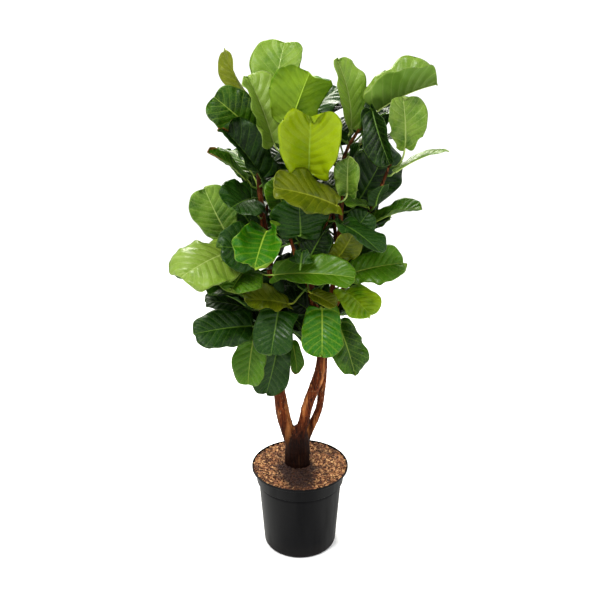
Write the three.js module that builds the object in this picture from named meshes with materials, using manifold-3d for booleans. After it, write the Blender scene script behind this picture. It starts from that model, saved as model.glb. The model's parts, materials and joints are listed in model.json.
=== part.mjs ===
// A fiddle leaf fig, Ficus lyrata, in its black nursery pot.
// Millimetres, +Z up. The origin is the centre of the pot's underside, where the plant stands.
// The pot, the soil, the woody stem with its shoots, and every leaf are separate solids.
import * as THREE from "three";
import { mergeVertices } from "three/addons/utils/BufferGeometryUtils.js";
import Module from "manifold-3d";

// ---------------------------------------------------------------- driving dimensions

// pot: a tapered injection-moulded container with a plain collar under its rim
const POT_HEIGHT = 250;
const RIM_RADIUS = 140;
const BASE_RADIUS = 106;
const BODY_TOP_RADIUS = 124; // of the body's cone, if it ran on up to the rim
const COLLAR_HEIGHT = 47;
const COLLAR_STEP = 6; // how far the collar stands out from the body under it
const LIP_HEIGHT = 12; // the flared part of the collar at the mouth
const LIP_BAND = 6.5; // the upright band that ends the lip
const POT_WALL = 2.4;
const POT_FLOOR = 3;
const BASE_CHAMFER = 6;
const DRAIN_COUNT = 10;
const DRAIN_RADIUS = 8;
const DRAIN_CIRCLE = 94;

// soil: fills the pot to just under the rim
const SOIL_TOP = 238; // at the wall
const SOIL_CROWN = 5; // how much higher it lies round the stem
const SOIL_LUMP = 1.6;
const PLAY = 0.4; // gap between pieces that touch

// wood and leaves
const WOOD_SIDES = 10;
const SHOOT_SIDES = 7;
const LEAF_THICKNESS = 1.5;
const MIDRIB_THICKNESS = 3.2;
const STALK_RADIUS = 2.8;
const ROOT_GAP = 0.6; // between the foot of a leaf stalk and the bark

const DEGREE = Math.PI / 180;

// ---------------------------------------------------------------- materials

const paint = (color, roughness) =>
  new THREE.MeshStandardMaterial({ color, roughness, metalness: 0 });
const POT_PLASTIC = paint("#232427", 0.55);
const BARK_CHIPS = paint("#8f5b36", 0.95);
const BARK = paint("#7b4a2c", 0.8);
const LEAF_TONES = {
  bright: paint("#8fb012", 0.4),
  yellow: paint("#9a9a1c", 0.45),
  pale: paint("#8aad6b", 0.35),
  mid: paint("#4d7d20", 0.35),
  dark: paint("#1f4f14", 0.3),
};

// ---------------------------------------------------------------- solids

const wasm = await Module();
wasm.setup();

// A geometry as a manifold solid, for a join or a cut.
function solidOf(geometry) {
  const bare = geometry.clone();
  bare.deleteAttribute("normal");
  bare.deleteAttribute("uv");
  const merged = mergeVertices(bare, 1e-4);
  return new wasm.Manifold(
    new wasm.Mesh({
      numProp: 3,
      vertProperties: merged.attributes.position.array,
      triVerts: new Uint32Array(merged.index.array),
    }),
  );
}

function geometryOf(solid) {
  const mesh = solid.getMesh();
  const geometry = new THREE.BufferGeometry();
  geometry.setAttribute("position", new THREE.BufferAttribute(mesh.vertProperties, 3));
  geometry.setIndex(new THREE.BufferAttribute(mesh.triVerts, 1));
  geometry.computeVertexNormals();
  return geometry;
}

// A closed skin over rings of points that all have the same count, with a point at each end.
// A thin blade's second half of each ring is its underside. There the quads split along the
// other diagonal, so that both sides crease alike and never cross each other.
function loft(start, rings, end, isBlade = false) {
  const count = rings[0].length;
  const points = [start, ...rings.flat(), end];
  const last = points.length - 1;
  const index = [];
  for (let i = 0; i < count; i++) {
    const next = (i + 1) % count;
    const isUnderside = isBlade && i >= count / 2;
    index.push(0, 1 + next, 1 + i);
    index.push(last, last - count + i, last - count + next);
    for (let k = 0; k < rings.length - 1; k++) {
      const near = 1 + k * count;
      const far = near + count;
      index.push(near + i, near + next, isUnderside ? far + next : far + i);
      index.push(isUnderside ? near + i : near + next, far + next, far + i);
    }
  }
  const geometry = new THREE.BufferGeometry().setFromPoints(points);
  geometry.setIndex(index);
  geometry.computeVertexNormals();
  return geometry;
}

// ---------------------------------------------------------------- pot and soil

const radiusAt = (z) => BASE_RADIUS + ((BODY_TOP_RADIUS - BASE_RADIUS) * z) / POT_HEIGHT;
const collarAt = (z) => radiusAt(z) + COLLAR_STEP;
const collarFoot = POT_HEIGHT - COLLAR_HEIGHT;
const lipFoot = POT_HEIGHT - LIP_HEIGHT;

function pot() {
  const outside = [
    [0, 0],
    [BASE_RADIUS - BASE_CHAMFER, 0],
    [BASE_RADIUS - BASE_CHAMFER / 3, BASE_CHAMFER / 3],
    [radiusAt(BASE_CHAMFER), BASE_CHAMFER],
    [radiusAt(collarFoot), collarFoot],
    [collarAt(collarFoot), collarFoot + 3],
    [collarAt(lipFoot), lipFoot],
    [RIM_RADIUS, POT_HEIGHT - LIP_BAND],
    [RIM_RADIUS, POT_HEIGHT],
  ];
  const inside = [
    [RIM_RADIUS - POT_WALL, POT_HEIGHT],
    [RIM_RADIUS - POT_WALL, POT_HEIGHT - LIP_BAND + 1],
    [collarAt(lipFoot) - POT_WALL, lipFoot + 1],
    [collarAt(collarFoot) - POT_WALL, collarFoot + 3 + POT_WALL],
    [radiusAt(collarFoot) - POT_WALL, collarFoot],
    [radiusAt(BASE_CHAMFER) - POT_WALL, BASE_CHAMFER + 1],
    [BASE_RADIUS - BASE_CHAMFER - 1, POT_FLOOR],
    [0, POT_FLOOR],
  ];
  const profile = [...outside, ...inside].map(([r, z]) => new THREE.Vector2(r, z));
  let shell = solidOf(new THREE.LatheGeometry(profile, 48).rotateX(Math.PI / 2));
  for (let k = 0; k < DRAIN_COUNT; k++) {
    const turn = (2 * Math.PI * k) / DRAIN_COUNT;
    const drill = new THREE.CylinderGeometry(DRAIN_RADIUS, DRAIN_RADIUS, 20, 12);
    drill.rotateX(Math.PI / 2);
    drill.translate(DRAIN_CIRCLE * Math.cos(turn), DRAIN_CIRCLE * Math.sin(turn), 0);
    shell = shell.subtract(solidOf(drill));
  }
  return geometryOf(shell);
}

// The soil fills the pot, heaped a little round the stem and rough on top.
function soil() {
  const rim = 36;
  const wall = [
    [BASE_RADIUS - BASE_CHAMFER - 2, POT_FLOOR + PLAY],
    [radiusAt(BASE_CHAMFER) - POT_WALL - 1, BASE_CHAMFER + 3],
    [radiusAt(collarFoot) - POT_WALL - 1, collarFoot - 1],
    [collarAt(collarFoot) - POT_WALL - 1, collarFoot + POT_WALL + 5],
    [collarAt(SOIL_TOP) - POT_WALL - 1, SOIL_TOP],
  ];
  const topRadii = [118, 98, 76, 54, 34].map((r) => [r, SOIL_TOP]);
  const lumpy = (x, y) =>
    Math.sin(x * 0.13 + 1) * Math.cos(y * 0.17) + Math.sin((x + y) * 0.29);
  const rings = [...wall, ...topRadii].map(([radius, z], row) => {
    const ring = [];
    for (let i = 0; i < rim; i++) {
      const turn = (2 * Math.PI * i) / rim;
      const x = radius * Math.cos(turn);
      const y = radius * Math.sin(turn);
      const heap = SOIL_CROWN * (1 - (radius / RIM_RADIUS) ** 2);
      const rise = row < wall.length ? 0 : heap + SOIL_LUMP * lumpy(x, y);
      ring.push(new THREE.Vector3(x, y, z + rise));
    }
    return ring;
  });
  const floor = new THREE.Vector3(0, 0, POT_FLOOR + PLAY);
  const middle = new THREE.Vector3(0, 0, SOIL_TOP + SOIL_CROWN);
  const fill = solidOf(loft(floor, rings, middle));
  return geometryOf(fill.subtract(solidOf(limbGeometry(LIMBS.base, PLAY))));
}

// ---------------------------------------------------------------- wood

// Each limb is a list of [x, y, z, radius] along its middle, from the root end to the bud.
const LIMBS = {
  base: [
    [-8, 9, 185, 26],
    [-8, 9, 225, 36],
    [-8, 9, 255, 38],
    [-8, 7, 290, 37],
    [-6, 3, 325, 34],
    [-3, 0, 352, 26],
    [-2, 0, 368, 17],
  ],
  left: [
    [-20, 3, 290, 16],
    [-27, 2, 327, 18],
    [-35, 1, 356, 19],
    [-42, 0, 381, 20],
    [-48, 0, 408, 20],
    [-52, 0, 436, 19],
    [-58, 0, 480, 17],
    [-56, 3, 550, 15],
    [-46, 8, 605, 14],
    [-55, 10, 690, 13],
    [-75, 10, 805, 11],
    [-94, 10, 945, 9],
    [-105, 10, 1060, 7],
    [-100, 12, 1150, 5],
    [-96, 15, 1185, 4],
  ],
  middle: [
    [-4, -2, 300, 18],
    [3, -6, 360, 16],
    [9, -8, 384, 15.5],
    [15, -9, 412, 15.5],
    [20, -10, 440, 15],
    [34, -13, 482, 15.5],
    [47, -16, 520, 16],
    [58, -19, 564, 15.5],
    [59, -20, 630, 13],
    [41, -20, 730, 11.5],
    [18, -20, 845, 10],
    [0, -20, 950, 8.5],
    [-10, -18, 1080, 6.5],
    [-18, -10, 1170, 5],
    [-21, -5, 1205, 4],
  ],
  right: [
    [13, 6, 290, 10],
    [24, 8, 345, 10.5],
    [37, 10, 374, 12],
    [47, 10, 403, 11],
    [57, 10, 431, 9.5],
    [60, 6, 473, 10.5],
    [66, 6, 530, 10],
    [71, 14, 630, 8],
    [84, 18, 747, 7.5],
    [97, 20, 860, 7],
    [107, 19, 968, 6.5],
    [107, 15, 1060, 5.5],
    [112, 8, 1135, 5],
    [138, -2, 1188, 4.5],
    [162, -11, 1220, 4],
  ],
  low_left: [
    [-49, 9, 635, 7],
    [-72, -8, 682, 6.5],
    [-98, -27, 725, 6],
    [-118, -40, 780, 5.5],
    [-130, -48, 845, 5],
    [-150, -52, 905, 4],
  ],
  front: [
    [29, -22, 780, 7],
    [12, -48, 838, 6],
    [-8, -72, 888, 5.5],
    [-22, -86, 935, 5],
    [-28, -92, 962, 4],
  ],
  front_right: [
    [8, -20, 885, 6.5],
    [42, -42, 935, 5.5],
    [70, -54, 985, 5],
    [84, -58, 1030, 4],
  ],
  low_right: [
    [72, 20, 685, 6],
    [94, 2, 725, 5.5],
    [110, -16, 775, 5],
    [119, -30, 815, 4],
  ],
  outer_right: [
    [99, 20, 885, 6],
    [127, 12, 925, 5.5],
    [160, 0, 965, 5],
    [188, -6, 1012, 5],
    [208, -14, 1065, 4.5],
    [226, -22, 1118, 4],
  ],
  back_left: [
    [-66, 10, 755, 7],
    [-80, 48, 800, 6],
    [-92, 84, 862, 5.5],
    [-95, 105, 930, 5],
    [-91, 115, 985, 4],
  ],
  back_right: [
    [88, 20, 795, 6.5],
    [100, 60, 850, 6],
    [98, 95, 912, 5.5],
    [88, 114, 980, 5],
    [80, 122, 1035, 4],
  ],
};
const BUD_LENGTH = 16;

const curveOf = (limb) =>
  new THREE.CatmullRomCurve3(
    limb.map(([x, y, z]) => new THREE.Vector3(x, y, z)),
    false,
    "centripetal",
  );

// The limb's radius at a part u of its length, from 0 at the root end to 1.
function limbRadius(limb, curve, u) {
  const place = curve.getUtoTmapping(u) * (limb.length - 1);
  const before = Math.min(Math.floor(place), limb.length - 2);
  return THREE.MathUtils.lerp(limb[before][3], limb[before + 1][3], place - before);
}

// The part of a limb's length at which it reaches a height.
function partAt(curve, height) {
  const steps = 200;
  const points = curve.getSpacedPoints(steps);
  const above = points.findIndex((point) => point.z >= height);
  return above < 0 ? 1 : above / steps;
}

// A tapered round limb, closed at both ends, with a pointed bud; extra is added all round.
function limbGeometry(limb, extra = 0) {
  const curve = curveOf(limb);
  const steps = limb.length * 2 - 2;
  const sides = limb.length > 6 || limb === LIMBS.base ? WOOD_SIDES : SHOOT_SIDES;
  const frames = curve.computeFrenetFrames(steps, false);
  const rings = frames.tangents.map((_, k) => {
    const middle = curve.getPointAt(k / steps);
    const radius = limbRadius(limb, curve, k / steps) + extra;
    return Array.from({ length: sides }, (_, i) => {
      const turn = (2 * Math.PI * i) / sides;
      return middle
        .clone()
        .addScaledVector(frames.normals[k], radius * Math.cos(turn))
        .addScaledVector(frames.binormals[k], radius * Math.sin(turn));
    });
  });
  const foot = curve.getPointAt(0).addScaledVector(frames.tangents[0], -1 - extra);
  const bud = curve.getPointAt(1).addScaledVector(frames.tangents[steps], BUD_LENGTH);
  return loft(foot, rings, bud);
}

// The stem, its three limbs and their shoots grow as one piece of wood.
function wood() {
  const solids = Object.values(LIMBS).map((limb) => solidOf(limbGeometry(limb)));
  return geometryOf(solids.reduce((whole, limb) => whole.add(limb)));
}

// ---------------------------------------------------------------- leaves

// Half the blade's width at a part t of its length, as a part of its widest:
// broad lobes at the foot, a waist, a broad far half and a blunt tip, like a fiddle.
const WIDEST = 0.6;
const LOBE = 0.13;
function outline(t, waist) {
  if (t >= WIDEST) return Math.sqrt(Math.max(0, 1 - ((t - WIDEST) / (1 - WIDEST)) ** 2));
  const body = waist + (1 - waist) * Math.sin((Math.PI / 2) * (t / WIDEST)) ** 2;
  return t >= LOBE ? body : body * Math.sqrt(1 - (1 - t / LOBE) ** 2);
}

// Points and turned directions along the midrib: an arc that droops by arch degrees in all,
// with its tip curling by curl degrees more, set to run from the foot to the tip.
function midribOf(foot, tip, face, bends) {
  const { arch = 25, curl = 0, twist = 0 } = bends;
  const steps = 40;
  const flat = [new THREE.Vector2()];
  const angles = [];
  for (let i = 0; i <= steps; i++) {
    const t = i / steps;
    const angle = -(arch * t + curl * t ** 4) * DEGREE;
    angles.push(angle);
    const step = new THREE.Vector2(Math.cos(angle), Math.sin(angle)).divideScalar(steps);
    flat.push(flat.at(-1).clone().add(step));
  }
  flat.pop();
  const along = tip.clone().sub(foot);
  const scale = along.length() / flat.at(-1).length();
  const lean = flat.at(-1).angle();
  along.normalize();
  const up = face.clone().addScaledVector(along, -face.dot(along)).normalize();
  const side = new THREE.Vector3().crossVectors(along, up);
  const inPlane = (v) =>
    new THREE.Vector3().addScaledVector(along, v.x).addScaledVector(up, v.y);
  const centre = new THREE.Vector2();
  return (t) => {
    const i = Math.round(t * steps);
    const turned = flat[i].clone().rotateAround(centre, -lean);
    const point = foot.clone().addScaledVector(inPlane(turned), scale);
    const angle = angles[i] - lean;
    const forward = inPlane(new THREE.Vector2(Math.cos(angle), Math.sin(angle)));
    const turn = twist * (t - 0.5) * DEGREE;
    const outward = side.clone().applyAxisAngle(forward, turn);
    return { point, forward, outward, upward: new THREE.Vector3().crossVectors(outward, forward) };
  };
}

// One leaf: a round stalk from the limb to the blade's foot, running on into a thin blade.
// Each ring has the two margins, three points on the upper side and three underneath.
const BLADE_STATIONS = [0.025, 0.075, 0.175, 0.3, 0.45, 0.6, 0.75, 0.875, 0.95];
function leafGeometry([, limbName, height, footAt, tipAt, width, faceTo, bends]) {
  const limb = LIMBS[limbName];
  const curve = curveOf(limb);
  const u = partAt(curve, height);
  const heart = curve.getPointAt(u);
  const foot = new THREE.Vector3(...footAt);
  const tip = new THREE.Vector3(...tipAt);
  const midrib = midribOf(foot, tip, new THREE.Vector3(...faceTo), bends);

  // the stalk leaves the bark square and meets the blade along the midrib
  const tangent = curve.getTangentAt(u);
  const away = foot.clone().sub(heart);
  away.addScaledVector(tangent, -away.dot(tangent)).normalize();
  const root = heart.clone().addScaledVector(away, limbRadius(limb, curve, u) + ROOT_GAP);
  const reach = root.distanceTo(foot) * 0.4;
  const start = midrib(0);
  const stalk = new THREE.CubicBezierCurve3(
    root,
    root.clone().addScaledVector(away, reach),
    foot.clone().addScaledVector(start.forward, -reach),
    foot,
  );
  const rings = [0, 0.4, 0.75].map((part) => {
    const middle = stalk.getPoint(part);
    const forward = stalk.getTangent(part);
    const outward = start.outward.clone();
    outward.addScaledVector(forward, -outward.dot(forward)).normalize();
    const upward = new THREE.Vector3().crossVectors(outward, forward);
    return Array.from({ length: 8 }, (_, i) => {
      const turn = Math.PI - (i * Math.PI) / 4;
      return middle
        .clone()
        .addScaledVector(outward, STALK_RADIUS * Math.cos(turn))
        .addScaledVector(upward, STALK_RADIUS * Math.sin(turn));
    });
  });

  const { fold = 8, cup = 12, wave = 3, waves = 2, waist = 0.62, notch = 0 } = bends;
  for (const t of BLADE_STATIONS) {
    const { point, forward, outward, upward } = midrib(t);
    const half = (width / 2) * outline(t, waist);
    const sweep = THREE.MathUtils.lerp(-0.4, 0.3 + notch, t);
    const at = (across, lift) => {
      const arm = Math.abs(across);
      const side = Math.sign(across);
      const turned = (fold + cup * arm) * DEGREE;
      const mean = (fold + (cup * arm) / 2) * DEGREE;
      const ripple = wave * arm ** 2 * Math.sin(2 * Math.PI * waves * t + side);
      return point
        .clone()
        .addScaledVector(outward, side * (half * arm * Math.cos(mean) - lift * Math.sin(turned)))
        .addScaledVector(upward, half * arm * Math.sin(mean) + ripple + lift * Math.cos(turned))
        .addScaledVector(forward, sweep * half * arm);
    };
    const top = LEAF_THICKNESS / 2;
    const rib = MIDRIB_THICKNESS * (1 - 0.5 * t) - top;
    const upper = [at(-1, 0), at(-0.5, top), at(0, top), at(0.5, top), at(1, 0)];
    const under = [at(0.5, -top), at(0, -rib), at(-0.5, -top)];
    rings.push([...upper, ...under]);
  }
  return loft(root, rings, tip, true);
}

// name, limb, height of its root, foot of the blade, tip, width, where the upper side faces, bends
const LEAVES = [
  ["top_back", "left", 1165, [-72, 45, 1242], [-38, 65, 1408], 145, [-3, -10, 3], { cup: 30 }],
  ["top_spike", "left", 1178, [-112, 85, 1252], [-192, 70, 1388], 80, [-7, -6, -4], { fold: 25 }],
  ["tall_folded", "middle", 1145, [-66, -22, 1172], [-126, -2, 1326], 135, [5, -8, 2], { fold: 32 }],
  ["top_backlit", "middle", 1192, [-22, -52, 1222], [20, -108, 1334], 150, [0, 10, 6], { fold: 22 }],
  ["back_shade", "middle", 1170, [-5, 35, 1212], [110, 110, 1274], 130, [-2, -7, 7], {}],
  ["right_upright", "right", 1165, [128, 2, 1204], [89, -5, 1368], 105, [7, -7, 2], { arch: 40 }],
  [
    "right_canopy", "right", 1216, [190, -22, 1250], [325, -42, 1310], 180, [-3, -2, 10],
    { fold: 55, cup: 5 },
  ],
  [
    "right_hanging", "outer_right", 1112, [258, -50, 1162], [241, -90, 1285], 105, [2, -9, 3],
    { wave: 8, waist: 0.4 },
  ],
  ["right_drooping", "right", 1205, [175, -42, 1252], [217, -90, 1128], 90, [-6, -8, 3], { fold: 30 }],
  ["right_under", "right", 1105, [130, 48, 1137], [210, 98, 1185], 105, [0, 5, 10], {}],
  ["right_shade", "right", 985, [150, 28, 1012], [226, 48, 1152], 145, [4, -8, 4], {}],
  ["outer_spike_high", "outer_right", 1090, [240, -24, 1102], [361, -40, 1156], 80, [-2, 0, 10], {}],
  ["outer_spike_low", "outer_right", 958, [188, -8, 968], [306, -30, 1010], 90, [-2, -1, 9], {}],
  [
    "centre_bright", "middle", 1072, [22, -50, 1105], [25, -81, 1238], 180, [0, -9, 4],
    { fold: 20, notch: 0.4 },
  ],
  ["centre_olive", "front_right", 1010, [90, -76, 1025], [-61, -150, 1080], 130, [-2, -7, 7], {}],
  [
    "centre_crumpled", "front_right", 1030, [118, -60, 1052], [116, -95, 1142], 70, [-2, -9, 2],
    { wave: 8 },
  ],
  ["right_small", "outer_right", 1000, [172, -18, 1012], [118, -62, 1020], 60, [0, -3, 8], {}],
  ["left_high_dark", "left", 1160, [-120, 15, 1200], [-211, -10, 1281], 115, [-3, -8, 5], { arch: 35 }],
  [
    "left_cupped", "left", 1055, [-96, -18, 1084], [-191, -40, 1209], 135, [7, -6, 3],
    { fold: 35, cup: 20 },
  ],
  ["left_spike", "left", 1050, [-135, -5, 1078], [-230, -40, 1151], 65, [2, -3, 10], {}],
  ["left_pale", "low_left", 900, [-188, -10, 932], [-240, -35, 1060], 120, [-3, -8, 5], {}],
  ["left_brown_edged", "left", 975, [-114, -28, 1000], [-184, -36, 1060], 65, [3, -2, 10], { arch: 30 }],
  ["left_inner", "left", 930, [-125, 35, 945], [-185, 40, 1035], 135, [-2, -8, 4], {}],
  ["centre_small", "middle", 965, [-34, -42, 992], [-68, -72, 1088], 80, [2, -9, 3], { wave: 7 }],
  [
    "left_big", "low_left", 902, [-178, -70, 905], [-285, -190, 872], 165, [0, -5, 8],
    { cup: -20, waist: 0.75 },
  ],
  ["left_long", "low_left", 770, [-145, -48, 782], [-326, -90, 868], 125, [0, -5, 10], {}],
  ["left_second", "low_left", 735, [-142, -5, 730], [-250, -25, 758], 105, [1, -2, 10], {}],
  ["left_oval", "low_left", 700, [-127, -72, 705], [-268, -128, 704], 105, [0, -7, 7], { waist: 0.8 }],
  ["left_front", "front", 930, [-95, -90, 912], [-188, -150, 938], 120, [-1, -9, 4], {}],
  ["cup_bright", "front", 960, [-84, -116, 966], [-106, -232, 906], 140, [0, -5, 9], { cup: 60 }],
  ["centre_round", "front", 955, [2, -92, 955], [-2, -100, 1038], 135, [0, -9, 5], { cup: 22 }],
  ["centre_curl", "front", 905, [5, -118, 915], [0, -150, 880], 55, [0, -5, 8], {}],
  ["centre_veined", "low_left", 845, [-66, -98, 852], [132, -165, 864], 105, [2, -6, 8], {}],
  ["right_glossy", "low_right", 805, [136, -32, 838], [265, -60, 873], 110, [2, -7, 7], {}],
  ["right_behind", "right", 765, [125, 60, 790], [286, 70, 806], 65, [0, -2, 9], {}],
  ["yellow_upright", "right", 845, [94, -62, 884], [130, -125, 967], 75, [3, -8, 5], {}],
  ["right_round", "low_right", 785, [118, -52, 795], [178, -120, 752], 105, [3, -6, 6], { waist: 0.8 }],
  ["right_crinkled", "low_right", 715, [101, -50, 704], [145, -110, 579], 100, [4, -8, 4], { wave: 6 }],
  ["front_low", "middle", 735, [57, -90, 755], [56, -150, 650], 105, [0, -9, 5], { waist: 0.8 }],
  ["low_dull", "low_left", 745, [-56, -96, 754], [-74, -142, 655], 105, [0, -8, 5], { waist: 0.8 }],
  ["low_left_drop", "low_left", 672, [-124, -50, 664], [-140, -76, 538], 95, [-3, -9, 2], { waist: 0.8 }],
  ["low_dark_drop", "left", 622, [-60, -26, 632], [-94, -30, 490], 105, [2, -9, 2], {}],
  ["low_scrap", "left", 608, [-22, 30, 622], [-8, 10, 531], 45, [4, -8, 0], {}],
  ["under_yellow", "front", 800, [-31, -62, 762], [-139, -140, 798], 95, [0, -5, 8], {}],
  ["small_yellow", "front", 815, [31, -85, 798], [91, -120, 775], 50, [0, -6, 7], {}],
  ["centre_shade", "front", 872, [24, -76, 892], [62, -84, 962], 86, [-2, -8, 4], {}],
  ["right_inner", "outer_right", 912, [128, -34, 932], [172, -48, 1002], 82, [1, -8, 4], { arch: 20 }],
  ["back_low_left", "back_left", 790, [-118, 68, 812], [-150, 190, 735], 135, [-2, 8, 5], {}],
  ["back_low_middle", "middle", 785, [28, 45, 820], [22, 185, 765], 150, [0, 8, 5], {}],
  ["back_low_right", "right", 690, [98, 65, 705], [160, 160, 650], 130, [3, 7, 5], {}],
  ["back_left_out", "back_left", 855, [-130, 110, 885], [-230, 190, 905], 130, [-4, 3, 8], {}],
  ["back_middle", "back_left", 925, [-60, 145, 955], [-40, 270, 965], 140, [0, 3, 9], {}],
  ["back_right_out", "back_right", 895, [135, 115, 920], [240, 190, 930], 130, [3, 4, 8], {}],
  ["back_high_left", "left", 1045, [-125, 88, 1075], [-190, 190, 1130], 135, [-4, 6, 6], {}],
  ["back_high_middle", "middle", 1060, [-15, 45, 1090], [-10, 180, 1170], 150, [0, 6, 6], {}],
  ["back_high_right", "back_right", 1030, [105, 155, 1060], [180, 230, 1120], 130, [3, 6, 6], {}],
  ["back_top", "middle", 1140, [-40, 45, 1180], [-80, 160, 1290], 130, [0, 8, 4], {}],
];

// Young leaves are yellow-green, old ones dark; the ones not named here are mid green.
const NAMES_BY_TONE = {
  bright: ["centre_bright", "top_backlit", "cup_bright", "front_low", "right_round"],
  yellow: [
    "centre_olive",
    "yellow_upright",
    "small_yellow",
    "under_yellow",
    "right_under",
    "top_spike",
  ],
  pale: [
    "top_back",
    "tall_folded",
    "right_canopy",
    "right_upright",
    "right_hanging",
    "left_pale",
    "left_big",
    "centre_crumpled",
    "outer_spike_high",
  ],
  dark: [
    "back_shade",
    "right_drooping",
    "right_shade",
    "right_inner",
    "left_cupped",
    "left_inner",
    "left_front",
    "left_second",
    "left_oval",
    "centre_round",
    "centre_curl",
    "centre_shade",
    "low_dull",
    "low_dark_drop",
    "back_low_middle",
    "back_middle",
  ],
};
const toneOf = (name) =>
  Object.keys(NAMES_BY_TONE).find((tone) => NAMES_BY_TONE[tone].includes(name)) ?? "mid";

// ---------------------------------------------------------------- the plant

const plant = new THREE.Group();
function place(name, geometry, material) {
  const mesh = new THREE.Mesh(geometry, material);
  mesh.name = name;
  plant.add(mesh);
}
place("pot", pot(), POT_PLASTIC);
place("soil", soil(), BARK_CHIPS);
place("stem", wood(), BARK);
for (const row of LEAVES) place("leaf_" + row[0], leafGeometry(row), LEAF_TONES[toneOf(row[0])]);

export default plant;
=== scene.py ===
# %% [markdown]
# # A potted fiddle leaf fig
# The real plant, Ficus lyrata, has woody stems and big stiff leaves shaped like a fiddle, with a
# waxy upper side, pale veins and a duller underside. It stands in a black nursery pot with bark
# chips on the soil. The CAD frame gives every piece its place and size; this script gives each
# its fine shape and its finish. Everything is in metres, +Z up.

# %% Load the frame
import json
import math
import zlib
import bmesh
import bpy
import numpy as np
from mathutils import Matrix, Vector, noise
from mathutils.bvhtree import BVHTree


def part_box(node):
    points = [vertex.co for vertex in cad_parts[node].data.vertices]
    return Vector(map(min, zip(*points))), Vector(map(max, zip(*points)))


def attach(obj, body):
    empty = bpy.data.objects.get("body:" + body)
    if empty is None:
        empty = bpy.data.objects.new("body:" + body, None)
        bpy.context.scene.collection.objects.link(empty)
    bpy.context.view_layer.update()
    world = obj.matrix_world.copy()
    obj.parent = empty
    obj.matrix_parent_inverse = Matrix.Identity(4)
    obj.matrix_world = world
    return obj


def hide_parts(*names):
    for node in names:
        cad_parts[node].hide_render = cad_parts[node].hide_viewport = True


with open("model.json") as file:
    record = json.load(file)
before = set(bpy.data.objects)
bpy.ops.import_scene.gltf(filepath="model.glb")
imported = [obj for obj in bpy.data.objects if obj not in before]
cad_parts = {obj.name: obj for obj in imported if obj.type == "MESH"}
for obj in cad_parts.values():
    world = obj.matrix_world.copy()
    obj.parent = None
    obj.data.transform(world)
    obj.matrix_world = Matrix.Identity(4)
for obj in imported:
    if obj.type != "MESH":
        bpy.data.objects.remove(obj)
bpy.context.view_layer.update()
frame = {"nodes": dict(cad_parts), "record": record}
MM = 0.001
nodes = frame["nodes"]
leaf_nodes = sorted(name for name in nodes if name.startswith("leaf_"))
slot_of = {part["node"]: part["material_slot"] for part in frame["record"]["subparts"]}
print("frame:", len(nodes), "nodes,", len(leaf_nodes), "of them leaves")

# %% [markdown]
# ## Helpers
# Three small tools serve every piece. `linear` turns the colour that a designer reads off a chart,
# an sRGB hex value, into the linear light that a renderer works in. `add` puts one node into a
# shader or geometry tree with its settings and links: a node given as a link's value stands for
# the first output that it offers in its present settings. `keep` hangs a finished piece on the
# body that it moves with and hides the CAD nodes that it stands for.

# %% Colour, node and bookkeeping helpers
def linear(code):
    channels = [int(code[i : i + 2], 16) / 255 for i in (1, 3, 5)]
    return (*[c / 12.92 if c <= 0.04045 else ((c + 0.055) / 1.055) ** 2.4 for c in channels], 1.0)


COLORS = {"data_type": "RGBA"}
MULTIPLY = {"operation": "MULTIPLY"}
MULTIPLY_ADD = {"operation": "MULTIPLY_ADD"}
MAXIMUM = {"operation": "MAXIMUM"}


def add(tree, kind, settings=None, **links):
    """One node; a link's key is a socket's name or _index, its value a node, a socket or a number."""
    made = tree.nodes.new(kind)
    for key, value in (settings or {}).items():
        setattr(made, key, value)
    for key, value in links.items():
        number = key[1:].isdigit()
        socket = made.inputs[int(key[1:])] if number else made.inputs[key.replace("_", " ")]
        if isinstance(value, bpy.types.Node):
            value = next(output for output in value.outputs if output.enabled)
        if isinstance(value, bpy.types.NodeSocket):
            tree.links.new(value, socket)
        else:
            socket.default_value = value
    return made


def keep(piece, slot, *replaced):
    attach(piece, "root")
    if replaced:
        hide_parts(*replaced)
    return piece


def mesh_object(name, vertices, faces, smooth=True):
    mesh = bpy.data.meshes.new(name)
    mesh.from_pydata([tuple(v) for v in vertices], [], faces)
    mesh.update()
    mesh.polygons.foreach_set("use_smooth", [smooth] * len(mesh.polygons))
    piece = bpy.data.objects.new(name, mesh)
    bpy.context.scene.collection.objects.link(piece)
    return piece


def new_material(name):
    material = bpy.data.materials.new(name)
    material.use_nodes = True
    material.node_tree.nodes.clear()
    return material, material.node_tree


# %% [markdown]
# ## Studio
# A tall plant is best seen on a pale sweep, under very soft light and from about head height. A
# large key light from the upper left gives the leaves their sheen, and another behind shines
# through the top leaves, which is why they glow yellow-green. The camera stands 1.8 m from the
# plant, level with the top leaves, and looks down on the soil. The plain Standard view transform
# with a little more contrast keeps the sweep white and the young greens vivid, which the default
# one would grey.

# %% Camera, floor and lights
CAMERA_PLACE = (0, -1.8, 1.345)
CAMERA_TILT = math.radians(90 - 18.2)
LENS = 42.06
CROWN_MIDDLE = (0, 0, 0.85)
FLOOR_HALF = 6.0
LIGHTS = (
    # name, place, size in metres, watts, colour
    ("key", (-1.3, -1.5, 2.9), 0.8, 62, "#ffffff"),
    ("back", (-0.3, 1.7, 2.6), 1.2, 70, "#fffdf2"),
    ("fill", (2.4, -1.2, 1.6), 1.2, 12, "#f4f8ff"),
)


def aim(thing, target):
    thing.rotation_euler = (Vector(target) - thing.location).to_track_quat("-Z", "Y").to_euler()


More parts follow.
